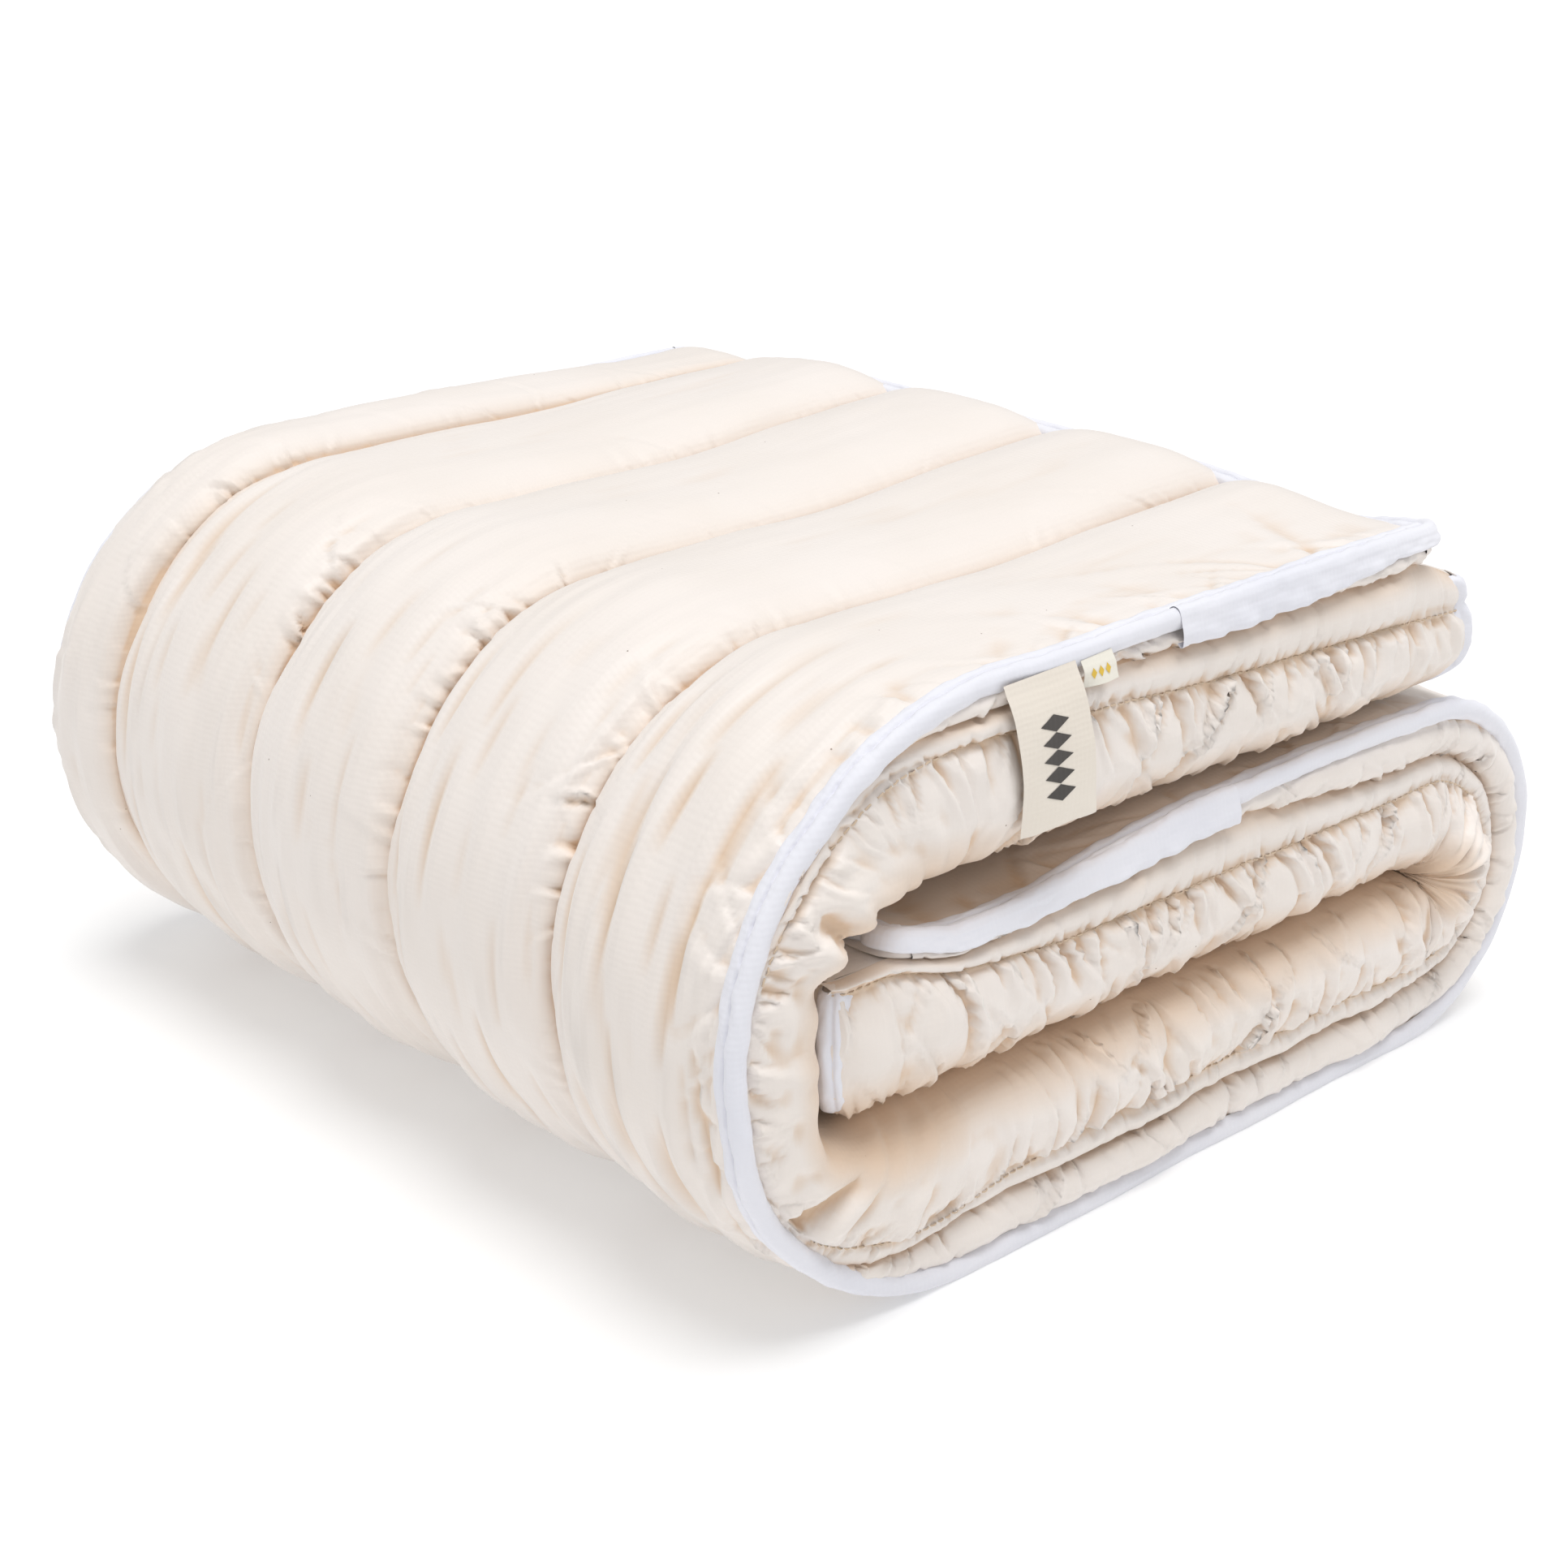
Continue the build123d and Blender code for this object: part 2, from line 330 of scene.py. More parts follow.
def box_blur(values, reach, axis):
    """Running mean over 2 * reach + 1 samples along an axis, with the ends repeated."""
    pad = [(0, 0)] * values.ndim
    pad[axis] = (reach + 1, reach)
    total = np.cumsum(np.pad(values, pad, mode="edge"), axis=axis)
    size = 2 * reach + 1
    upper = np.take(total, range(size, total.shape[axis]), axis=axis)
    lower = np.take(total, range(0, total.shape[axis] - size), axis=axis)
    return (upper - lower) / size


DARK_DEPTH = 2.6 * MM      # a crease this deep gets the most painted shade


def cavity_of(points, normals):
    """How far each point lies in a crease, from 0 on open cloth to 1 in the deepest: how much
    painted shade it gets.
    """
    around = points
    for _ in range(2):
        around = box_blur(box_blur(around, 5, 0), 3, 1)
    return unit(np.einsum("ijk,ijk->ij", around - points, normals) / DARK_DEPTH)


def grid_object(name, points, normals, flip=False, shade=None):
    """A grid of points (rows, columns, 3) as one smooth surface. shade is painted shade, 0 to 1 for
    each point: the colour is darkened and warmed where creases and other layers would shade the
    cloth."""
    faces = grid_faces(*points.shape[:2], flip)
    obj = mesh_object(name, points.reshape(-1, 3), faces, normals.reshape(-1, 3))
    if shade is not None:
        layer = obj.data.attributes.new("shade", "FLOAT", "POINT")
        layer.data.foreach_set("value", np.ascontiguousarray(shade, dtype=np.float32).ravel())
    return obj


def attach(obj, part, k):
    """Rides on the outer flap or the base; a piece on hinge strip k has its transform applied and
    stays where it is.
    """
    if k is None:
        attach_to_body(obj, "outer_flap" if part == "outer" else part)
        return
    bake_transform(obj)


def strips(name, st, points, flip=False, rows_kept=None, painted_shade=0):
    """Cuts a grid along the stations into one piece per body and one per hinge strip.
    rows_kept is the first and last row to keep, and the last argument is painted shade for each
    point, from 0 to 1, where other layers and seams shut the cloth in."""
    normals = grid_normals(points) * (-1 if flip else 1)
    # painted shade: darker in the cloth's creases and where other layers cover it
    shade = unit(cavity_of(points, normals) + painted_shade)
    made = {}
    first_kept, last_kept = rows_kept or (0, st.count - 1)
    for part, first, last, k in st.spans():
        rows = slice(max(first, first_kept), min(last, last_kept) + 1)
        obj = grid_object(f"{part}_{name}", points[rows], normals[rows], flip, shade[rows])
        attach(obj, part, k)
        made[part] = obj
    return made


# ---- Camera, light and floor ----


def make_camera():
    """The photo's view, about 22 degrees down, from beyond the near left corner."""
    data = bpy.data.cameras.new("camera")
    data.sensor_width = 36
    data.lens = 60.93
    data.clip_end = 50
    camera = add_object("camera", data)
    camera.location = (-1.0921, -1.2145, 0.8121)
    camera.rotation_euler = (math.radians(90 - 22.39), 0, math.radians(-42.11))
    bpy.context.scene.camera = camera


FLOOR_HALF = 9      # metres
SKY_LIGHT, SKY_SEEN = 0.53, 1.0      # the white sky as it lights, and as the camera sees it


def make_studio():
    """A white sky, one broad sun from above and a pale floor."""
    scene = bpy.context.scene
    scene.view_settings.view_transform = "Standard"
    scene.world = world = bpy.data.worlds.new("studio")
    world.use_nodes = True
    tree = world.node_tree
    background = tree.nodes["Background"]
    seen = add_node(tree, "ShaderNodeLightPath").outputs["Is Camera Ray"]
    strength = add_node(tree, "ShaderNodeMapRange", To_Min=SKY_LIGHT, To_Max=SKY_SEEN, Value=seen)
    set_inputs(tree, background, {"Color": (1, 1, 1, 1), "Strength": strength.outputs["Result"]})
    sun = bpy.data.lights.new("key", "SUN")
    sun.energy = 2.06
    sun.angle = math.radians(38)
    light = add_object("key", sun)
    light.rotation_euler = Vector((0.0, 0.13, -1.0)).to_track_quat("-Z", "Y").to_euler()
    corners = [(x * FLOOR_HALF, y * FLOOR_HALF, 0) for x, y in ((-1, -1), (1, -1), (1, 1), (-1, 1))]
    floor = mesh_object("floor", corners, [[0, 1, 2, 3]])
    material, tree, shader = new_material("floor")
    set_inputs(tree, shader, {
        "Base Color": (0.74, 0.74, 0.74, 1), "Roughness": 0.9,
        "Emission Color": (1, 1, 1, 1), "Emission Strength": 0.28,
    })
    floor.data.materials.append(material)


def new_material(name):
    material = bpy.data.materials.new(name)
    material.use_nodes = True
    tree = material.node_tree
    return material, tree, tree.nodes["Principled BSDF"]


def feed(tree, socket, value):
    """Sets an input to a number or a colour, or links another node's output to it."""
    if isinstance(value, bpy.types.NodeSocket):
        tree.links.new(value, socket)
    else:
        socket.default_value = value


def set_inputs(tree, node, values):
    for name, value in values.items():
        feed(tree, node.inputs[name], value)


def add_node(tree, kind, **values):
    """Adds a node. A value goes to the input of that name, or else to the node's own setting."""
    node = tree.nodes.new(kind)
    for key, value in values.items():
        name = key.replace("_", " ")
        if name in node.inputs:
            feed(tree, node.inputs[name], value)
        else:
            setattr(node, key, value)
    return node


def calculate(tree, operation, first, second):
    node = add_node(tree, "ShaderNodeMath", operation=operation)
    feed(tree, node.inputs[0], first)
    feed(tree, node.inputs[1], second)
    return node.outputs[0]


def mix_colours(tree, share, first, second):
    node = add_node(tree, "ShaderNodeMix", data_type="RGBA", Factor=share, A=first, B=second)
    return node.outputs["Result"]


SEED_COLOUR = (0.13, 0.07, 0.04, 1)
MOTTLE_SCALE, SEED_SCALE, SLUB_SCALE = 9.0, 55.0, 420.0
SEED_SIZE = 0.030      # of the distance between two places where a seed fleck may be


def cloth_material(name, colour, shade, flecks, roughness, weave=90.0, bump=0.25, painted_shade_colour=None):
    """Plain-woven cotton: mottled colour, dark seed flecks, a fine weave and slubs in relief.
    flecks is the chance of a fleck at each place, and the last argument is the colour of painted
    shade, mixed in where the shade attribute marks creases and places that other layers cover."""
    material, tree, shader = new_material(name)
    place = add_node(tree, "ShaderNodeTexCoord").outputs["Object"]
    cloud = add_node(tree, "ShaderNodeTexNoise", Vector=place, Scale=MOTTLE_SCALE, Detail=3.0)
    spread = add_node(
        tree, "ShaderNodeMapRange", Value=cloud.outputs["Fac"], From_Min=0.35, From_Max=0.75
    )
    cover = mix_colours(tree, spread.outputs["Result"], (*colour, 1), (*shade, 1))
    if flecks:
        cells = add_node(tree, "ShaderNodeTexVoronoi", Vector=place, Scale=SEED_SCALE)
        chance = add_node(tree, "ShaderNodeSeparateColor", Color=cells.outputs["Color"])
        dot = calculate(tree, "LESS_THAN", cells.outputs["Distance"], SEED_SIZE)
        rare = calculate(tree, "LESS_THAN", chance.outputs["Red"], flecks)
        strength = calculate(tree, "MULTIPLY", calculate(tree, "MULTIPLY", dot, rare), 0.75)
        cover = mix_colours(tree, strength, cover, SEED_COLOUR)
    # painted shade: the mesh's shade attribute darkens and warms the cloth in its creases and under
    # other layers
    if painted_shade_colour:
        painted_shade_node = add_node(tree, "ShaderNodeAttribute", attribute_name="shade")
        cover = mix_colours(tree, painted_shade_node.outputs["Fac"], cover, (*painted_shade_colour, 1))
    height = add_node(tree, "ShaderNodeTexNoise", Vector=place, Scale=SLUB_SCALE, Detail=2.0)
    height = height.outputs["Fac"]
    for direction in "XYZ":
        ribs = add_node(
            tree, "ShaderNodeTexWave", Vector=place, Scale=weave, Distortion=1.5,
            bands_direction=direction,
        )
        height = calculate(tree, "ADD", height, ribs.outputs["Fac"])
    relief = add_node(tree, "ShaderNodeBump", Strength=bump, Distance=0.2 * MM, Height=height)
    set_inputs(tree, shader, {
        "Base Color": cover, "Normal": relief.outputs["Normal"], "Roughness": roughness,
        "Sheen Weight": 0.25, "Sheen Roughness": 0.4, "Specular IOR Level": 0.35,
    })
    return material


def paint(objects, material):
    for obj in objects:
        obj.data.materials.clear()
        obj.data.materials.append(material)


# ---- Creases ----


def creases(s, d, seed, start, reach, spacing, width, lean=0.25, both=False):
    """Gathers along a sewn line: narrow inward creases that run out from d = start and fade,
    with rounded puffs left between them. About -1 in a crease and 0 to 0.3 in a puff. How far
    they reach, their spacing and their width are in mm."""
    reach, spacing, width = reach * MM, spacing * MM, width * MM
    gen = np.random.default_rng(seed)
    total = np.zeros(np.broadcast(s, d).shape)
    way = np.sign(reach)
    away = np.abs(d - start) if both else (d - start) * way
    place = float(s.min())
    while place < float(s.max()):
        place += spacing * gen.uniform(0.45, 1.6)
        length = abs(reach) * gen.uniform(0.45, 1.35)
        tilt, bow = gen.normal(0, lean), gen.normal(0, lean)
        t = away / length
        line = place + tilt * away + bow * away * unit(t)
        fade = unit(1 - t) ** 1.3 * unit(1 + t * 40)
        half = width * gen.uniform(0.6, 1.4) * (0.7 + unit(t))
        beside = line + gen.choice((-1.8, 1.8)) * half
        pleat = np.exp(-np.abs(s - line) / half) - 0.75 * np.exp(-(((s - beside) / half) ** 2))
        total -= gen.uniform(0.35, 1.25) * fade * pleat
    return total - total.mean()


# ---- Face A: the quilted pad ----
# creases and smooth_noise are seeded for each use, so that no pattern depends on another

CREST = 2.0 * MM      # how far a channel's crown stands over path A
VALLEY = 24.0 * MM      # how far a seam lies below it
FAR_CREST = 6.0 * MM      # how much fuller the far channel is, above and round the left fold
FAR_VALLEY = 0.42      # depth of the far channel's seam there, of the others' depth
EDGE_INSET = 10.5 * MM      # how far the pad's edge lies in from the side plane
CROWDING = 0.115      # how far columns crowd towards the seams, of a channel's width
EDGE_TUCK = 2.5 * MM      # how far the pad's edge passes under its tape
# heights of the pad's edge over path A in mm: each end's near corner, and the whole far side
NEAR_CORNER = {"outer": 3.0, "inner": 0.5}
FAR_LEVEL = -11.0
END_LIFT = 14 * MM      # how far the outer flap's end rises, away from its near corner
PUSHED_UP = 28 * MM      # how far the left fold pushes up the inner flap's boxing
PRESSED_DOWN = 17 * MM      # how far the outer flap presses down the inner flap's end


def edge_level(st, side):
    """Height over path A of a long edge of the pad, under the binding. The far one droops."""
    level = FAR_LEVEL
    if side == "near":
        on_top = unit((st.s[st.fold_start] - st.s) / (150 * MM))
        level = NEAR_CORNER["inner"] + (NEAR_CORNER["outer"] - NEAR_CORNER["inner"]) * on_top
    return (level - 5.0 * st.bend_weight("left") - 2.0 * st.bend_weight("right")) * MM


def channel_grid(cells):
    """Y of each column, where it is within its channel, its channel, and the seam columns."""
    edges = [Y_NEAR + EDGE_INSET, *SEAMS, Y_FAR - EDGE_INSET]
    ys, across, channel = [], [], []
    for number, (y0, y1) in enumerate(zip(edges, edges[1:])):
        count = max(8, round(cells * (y1 - y0) / CHANNEL))
        u = np.linspace(0, 1, count + 1)
        u = u - CROWDING * np.sin(2 * np.pi * u)
        last = None if number == len(edges) - 2 else -1
        ys += list(y0 + (y1 - y0) * u[:last])
        across += list(u[:last])
        channel += [number] * len(u[:last])
    seams = [channel.index(n) for n in range(len(edges) - 1)] + [len(ys) - 1]
    return np.array(ys), np.array(across), np.array(channel), seams


def crown_of(across, channel):
    """Cross-section of each channel: flat-topped, steep at a seam and gentler at the binding."""
    v = np.abs(2 * across - 1)
    steep = (1 - v**3.0) ** 0.5
    gentle = (1 - v**2.1) ** 0.85
    outer = ((channel == 0) & (across < 0.5)) | ((channel == channel.max()) & (across > 0.5))
    return np.where(outer, gentle, steep)


def quilt_target(st, across, channel):
    """Height of the quilted face over path A, for each station and column."""
    near, far = (edge_level(st, side) - EDGE_TUCK for side in SIDES)
    valley = -VALLEY * (1 - 0.12 * st.bend_weight("left"))
    on_top = smooth_step((st.z - 0.04) / 0.10) * ((st.kind == "top") | (st.kind == "left"))
    far_valley = valley * (1 - (1 - FAR_VALLEY) * on_top)
    levels = np.stack([near] + [valley] * 3 + [far_valley, far], 1)
    start, stop = levels[:, channel], levels[:, channel + 1]
    base = start + (stop - start) * smooth_step(across)
    full = on_top * (1 - 1.15 * smooth_step((st.x + 0.05) / 0.20))
    crest = CREST + FAR_CREST * full[:, None] * (channel == channel.max())
    return base + (crest - base) * crown_of(across, channel)


def end_level(y, which):
    """Height of a free end's edge over path A: only the near corner keeps the full height."""
    corner = NEAR_CORNER[which]
    return (corner - (corner - FAR_LEVEL) * smooth_step((y - Y_NEAR) / (80 * MM))) * MM


def settle(points, kinds):
    """The free ends, as they lie. The outer flap's pad rises towards the far side. The inner
    flap's is pressed down by the outer flap, and the left fold pushes the top of its boxing up
    close under the pad's tape. kinds is each row's stretch of the path."""
    x, y, z = points[..., 0], points[..., 1], points[..., 2]
    kinds = np.reshape(kinds, (-1, 1))
    # over the last 26 cm of the outer flap, most of all in the middle of its width
    lift = smooth_step((y - Y_NEAR) / 0.20) * (1 - 0.9 * smooth_step((y - 0.15) / 0.15))
    lift = lift * smooth_step((x - (OUTER_PAD_END - 0.26)) / 0.24) * END_LIFT
    lift = lift * unit((z - (HEIGHT - 60 * MM)) / (36 * MM))
    z = z + lift * (kinds == "top")
    # the upper half of the inner flap's boxing, towards its end
    pushed = smooth_step((-0.09 - x) / 0.17) * unit((z - 0.120) / 0.060)
    pushed = pushed * unit((0.218 - z) / 0.034) * PUSHED_UP
    z = z + pushed * (kinds == "inner")
    # the inner flap's pad, more towards its end and less at the end itself
    pressed = smooth_step((0.02 - x) / 0.16) * (1 - 0.7 * smooth_step((-0.185 - x) / 0.055))
    height = unit((z - (INNER_TOP - 50 * MM)) / (40 * MM)) * PRESSED_DOWN
    moved = points.copy()
    moved[..., 2] = z - pressed * height * (kinds == "inner")
    return moved


def end_distance(st):
    """How far each station is along the path from the nearer free end."""
    return np.minimum(st.s, st.s[-1] - st.s)


def quilt_wrinkles(st, ys, seams):
    """Puckers beside the seams, and long tension creases where the pad is bent."""
    s, y = st.s[:, None], ys[None, :]
    fold = st.bend_weight("left")[:, None]
    # puckers and creases are deepest 10 cm round the left fold from the top
    shoulder = np.exp(-(((s - st.s[st.fold_start] - 0.10) / 0.13) ** 2))
    total = np.zeros((st.count, len(ys)))
    for number, column in enumerate(seams[1:-1]):
        seam = ys[column]
        here = creases(s, y, 100 + number, seam, 20, 19, 2.8, 0.3, both=True)
        long = creases(s, y, 105 + number, seam, 48, 60, 3.2, 0.8, both=True)
        side = np.where(y > seam, 1.0, 0.2)
        patches = 0.6 + 0.6 * smooth_noise(s, y * 0, 0.16, 107 + number, 1)
        total += here * side * patches * (1.2 + 1.4 * fold + 2.4 * shoulder) * MM
        total += long * side * (1.0 + 0.8 * shoulder) * MM
    for number, column in enumerate((seams[0], seams[-1])):
        reach = 42 if number == 0 else -42
        here = creases(s, y, 110 + number, ys[column], reach, 24, 4.0, 0.7)
        total += here * (2.0 + 1.4 * fold) * MM
    # long thin streaks round the fold, then broad drags from the near binding
    streaks = smooth_noise(s * 0.09, y, 0.015, 120, 2)
    streaks += 0.8 * smooth_noise(s * 0.13, y, 0.030, 121, 2)
    near = np.exp(-((y - Y_NEAR) / 0.07))
    total += streaks * (fold**0.8 * (0.85 + 1.5 * near) + 0.18) * MM
    pulled = creases(s, y, 123, ys[0], 100, 46, 8.0, 1.2)
    total += pulled * 2.0 * unit((st.s[st.fold_start] + 0.08 - s) / 0.05) * MM
    dragged = creases(s, y, 124, ys[0], 46, 26, 8.0, 3.0)
    total += dragged * 2.4 * fold * MM
    total += smooth_noise(s * 0.6, y, 0.10, 122, 2) * 0.55 * MM
    from_edge = np.minimum(y - ys[0], ys[-1] - y)
    return total * unit(from_edge / (9 * MM))


def make_quilt():
    """Face A from end to end: the channels, their seams and the pad's puffed edges."""
    spacing, cells = ((2.8 * MM, 44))
    st = Stations(spacing, OUTER_PAD_END - 4 * MM, INNER_PAD_END + 4 * MM)
    ys, across, channel, seams = channel_grid(cells)
    height = quilt_target(st, across, channel)
    # the channels close towards the free ends
    close = 1 - unit(end_distance(st)[:, None] / (34 * MM))
    first_half = st.s[:, None] < st.s[-1] / 2
    end_height = np.where(first_half, end_level(ys, "outer"), end_level(ys, "inner")) - EDGE_TUCK
    height = height + (end_height - height) * (1 - np.sqrt(1 - close**2.4))
    x = st.x[:, None] + st.normal[:, :1] * height
    z = st.z[:, None] + st.normal[:, 1:] * height
    smooth = np.stack([x, np.broadcast_to(ys, x.shape), z], 2)
    outward = grid_normals(smooth)
    free = free_points(smooth.shape[:2], seams)
    wrinkles = quilt_wrinkles(st, ys, seams) * free * (1 - close)
    target = smooth + outward * wrinkles[..., None]
    points = settle(relax(target, (1.004, 1.002), free, floor=0.4 * MM), st.kind)
    # painted shade along the seams, where the channels press together, and on the inner flap under
    # the outer flap
    seam_distance = np.abs(ys[:, None] - ys[seams][None, 1:-1]).min(1)[None, :]
    painted_shade = 0.7 * np.exp(-seam_distance / (4 * MM))
    under_flap = (st.kind == "inner") * smooth_step((OUTER_END - st.x) / 0.14)
    painted_shade = painted_shade + 0.45 * under_flap[:, None]
    return strips("quilt", st, points, painted_shade=painted_shade)


# ---- Boxing: the gathered side walls ----

CORNER = 12.0 * MM      # radius of the pad's corners, seen from above

# (depth below face A, stand-out from the side plane) in mm, in three runs: from the binding over
# the pad's edge to the crevice, from there to the stitched line, and from there to face B
OPEN_EDGE = ((10, -2), (14.5, 3), (22, 6), (30, 3.5), (34.5, -3), (36, -9))
TUCKED_EDGE = ((9, -3), (11, 0), (13, 1.5), (15.5, 1.5), (18, -1), (20, -5))
OPEN_PIPING = ((36, -9), (37.5, -3), (41, 2), (46, 3), (50.5, 0.5))
TUCKED_PIPING = ((20, -5), (23, 0), (31, 4), (41, 4), (50.5, 0.5))
END_EDGE = ((9, -3), (12, 1), (17, 3.5), (23, 3), (28, -1), (31, -6))
LEFT_EDGE = ((7, -3), (9, -2), (10.5, -1.5), (12, -2), (13, -3))
LEFT_PIPING = ((13, -3), (14, -1.5), (15, -0.5), (16, 0))
WALLS = {
    "outer": ((50.5, 0.5), (53, 2.5), (59, 6.5), (68, 9), (78, 9), (87, 5.5), (95, 0),
              (103, -9), (109, -20), (113.5, -33), (115.5, -47), (116, -60)),
    "left": ((16, 0), (19, 2.5), (26, 5), (40, 8), (55, 10), (68, 11.5), (78, 11.5), (87, 8.5),
             (95, 3), (103, -5), (109, -13), (113.5, -23), (115.5, -34), (116, -46)),
    "bottom": ((50.5, 0.5), (53, 2.5), (59, 6.5), (68, 10), (78, 12), (88, 12), (98, 9),
               (106, 3), (111, -6), (114.5, -18), (115.8, -36), (116, -60)),
    "right": ((50.5, 0.5), (53, 2.5), (59, 7.5), (68, 13), (78, 17), (87, 19), (95, 18),
              (103, 13), (109, 6), (113.5, -4), (115.5, -14), (116, -26)),
    "inner": ((50.5, 0.5), (53, 2.5), (59, 7), (68, 10), (77, 11), (86, 9), (94, 5),
              (102, -2), (108, -11), (113, -24), (115.5, -40), (116, -60)),
}
# (along the path from the left fold's start, depth of the stitched line there) in mm
STITCHED_DEPTH = (
    (-430, 57), (-190, 45), (-20, 34), (100, 25), (229, 17), (390, 17), (470, 32), (560, 48),
    (640, 55), (900, 55), (960, 52), (1600, 52),
)
ROUNDING = 102 * MM      # depth where a wall has begun to round onto face B
PIPING_CELLS = 8
TUCK_LENGTH = 0.26      # how far from the right fold the inner flap's edge is tucked under its tape


def spline(points, samples):
    """Evenly spaced samples along a smooth curve through points."""
    p = np.array(points, float)
    t = np.concatenate([[0], np.cumsum(np.sqrt(np.linalg.norm(np.diff(p, axis=0), axis=1)))])
    fine = np.linspace(0, t[-1], 400)
    slopes = np.gradient(p, t, axis=0)
    index = np.clip(np.searchsorted(t, fine, side="right") - 1, 0, len(t) - 2)
    h = (t[index + 1] - t[index])[:, None]
    u = ((fine - t[index]) / (t[index + 1] - t[index]))[:, None]
    curve = (
        (2 * u**3 - 3 * u**2 + 1) * p[index]
        + (u**3 - 2 * u**2 + u) * h * slopes[index]
        + (-2 * u**3 + 3 * u**2) * p[index + 1]
        + (u**3 - u**2) * h * slopes[index + 1]
    )
    length = lengths_along(curve)
    return places_on(curve, length, np.linspace(0, length[-1], samples))


def wall_profiles(counts):
    """The wall's cross-section for each kind of place: an array (kinds, columns, 2) in metres."""
    made = []
    for edge, piping, wall in (
        (TUCKED_EDGE, TUCKED_PIPING, WALLS["outer"]),
        (LEFT_EDGE, LEFT_PIPING, WALLS["left"]),
        (OPEN_EDGE, OPEN_PIPING, WALLS["bottom"]),
        (OPEN_EDGE, OPEN_PIPING, WALLS["right"]),
        (TUCKED_EDGE, TUCKED_PIPING, WALLS["inner"]),
        (OPEN_EDGE, OPEN_PIPING, WALLS["inner"]),
    ):
        runs = [spline(run, n + 1) for run, n in zip((edge, piping, wall), counts)]
        made.append(np.concatenate([runs[0][:-1], runs[1][:-1], runs[2]]) * MM)
    return np.array(made)


def move_stitched_line(st, depth, crevice, stitched):
    """Shifts the depths so that the stitched line runs where it should along the path."""
    along = (st.s - st.s[st.fold_start]) / MM
    wanted = np.interp(along, *zip(*STITCHED_DEPTH))[:, None] * MM
    wanted = box_blur(wanted, 12, 0)
    now, start = depth[:, stitched : stitched + 1], depth[:, crevice : crevice + 1]
    wanted = np.maximum(wanted, start + 3 * MM)
    beyond = unit((ROUNDING - depth) / (ROUNDING - now)) * (wanted - now)
    short = unit((depth - start) / (now - start)) * (wanted - now)
    return depth + np.where(depth > now, beyond, short)


def profile_weights(st):
    """Shares of the six cross-sections at each station."""
    weights = st.layer_weights()
    tucked = smooth_step((X_RIGHT - st.x) / TUCK_LENGTH)
    inner = weights[:, 4]
    return np.column_stack([weights[:, :4], inner * tucked, inner * (1 - tucked)])


DEEPEST = 9.5 * MM      # no crease of a wall is deeper
# the kinds of crease on a long side: the seed's offset, the line or the depth in mm that they
# start from, then how far they reach, their spacing and their width in mm, and how they lean
GATHERS = {
    "below": (0, "stitched", 74, 15, 3.0, 0.34),
    "lower": (1, 112, -50, 21, 3.2, 0.5),
    "piping": (2, "stitched", -20, 14, 2.4, 0.3),
    "edge": (3, "crevice", -28, 20, 3.2, 0.5),
    "fanned": (5, 118, -84, 82, 13.0, 0.2),
    "hem": (6, "top", 20, 24, 3.0, 0.5),
    "slanted": (7, "stitched", 34, 26, 3.0, 0.75),
    "radial": (8, 118, -80, 58, 11.0, 0.2),
}
# (along the path from the left fold's start, depth, reach over the depth, how deep) in mm
BUCKLES = (
    (170, 92, 24, 15), (392, 72, 26, 13), (1085, 86, 20, 10), (1150, 80, 28, 13), (1220, 84, 18, 9),
)


def buckles(st, d):
    """The places where the gathered wall has folded over itself, in mm outward."""
    s = st.s[:, None] - st.s[st.fold_start]
    total = 0 * s * d
    for place, middle, reach, depth in BUCKLES:
        up = (d - middle * MM) / (reach * MM)
        across = (s - place * MM) / (9 * MM) - 0.5 * up
        pinch = 0.8 * np.exp(-((across - 1.8) ** 2)) - np.exp(-np.abs(across) ** 1.4)
        pinch = pinch + 0.4 * np.exp(-((across + 2.2) ** 2))
        total = total + depth * np.exp(-up * up) * pinch
    return total


def wall_wrinkles(st, depth, crevice, stitched, seed):
    """Gathers of the boxing, in metres outward: along the piping, the wall and the pad's edge."""
    s, d = st.s[:, None], depth[None, :]
    right = st.bend_weight("right")[:, None]
    under = d > depth[stitched]
    past = unit((st.s - st.s[st.fold_end]) / 0.09)[:, None]
    before = unit((st.s[st.fold_start] - st.s) / 0.02)[:, None]
    straight = np.maximum(past, before) * (1 - right) ** 2
    left = (1 - past) * (1 - before)
    middle = unit((ROUNDING - d) / (35 * MM))
    lines = {"top": depth[0], "crevice": depth[crevice], "stitched": depth[stitched]}
    g = {
        name: creases(s, d, seed + offset, lines[line] if line in lines else line * MM, *sizes)
        for name, (offset, line, *sizes) in GATHERS.items()
    }
    # sharp gathers hang from the stitched line and rise from face B, and folds fan round the bends
    total = (g["below"] * 8.6 + g["slanted"] * 3.6 + g["lower"] * 5.2) * under * straight
    total = total + (g["fanned"] * 8.0 * left + g["radial"] * 10.0 * right) * under * middle
    short = (g["below"] + g["slanted"] * 0.6) * unit((90 * MM - d) / (30 * MM))
    total = total + short * 3.4 * under * (1 - straight)
    total = total + g["piping"] * 2.6 * ((d > depth[crevice]) & ~under)
    total = total + (g["edge"] * 5.6 + g["hem"] * 2.2) * (d < depth[crevice])
    total = total + buckles(st, d) * under
    total = total * (0.4 + 0.6 * unit(end_distance(st) / (75 * MM))[:, None])
    dents = smooth_noise(s, d * 0.8, 0.045, seed + 4, 2)
    total += dents * 1.5 * under
    return -DEEPEST * np.tanh(-total * MM / DEEPEST)


# a long side: its pieces by part, its stations and points, and the columns where the pad's edge
# meets the boxing and where the boxing is stitched
Wall = namedtuple("Wall", "edge boxing st points crevice stitched")


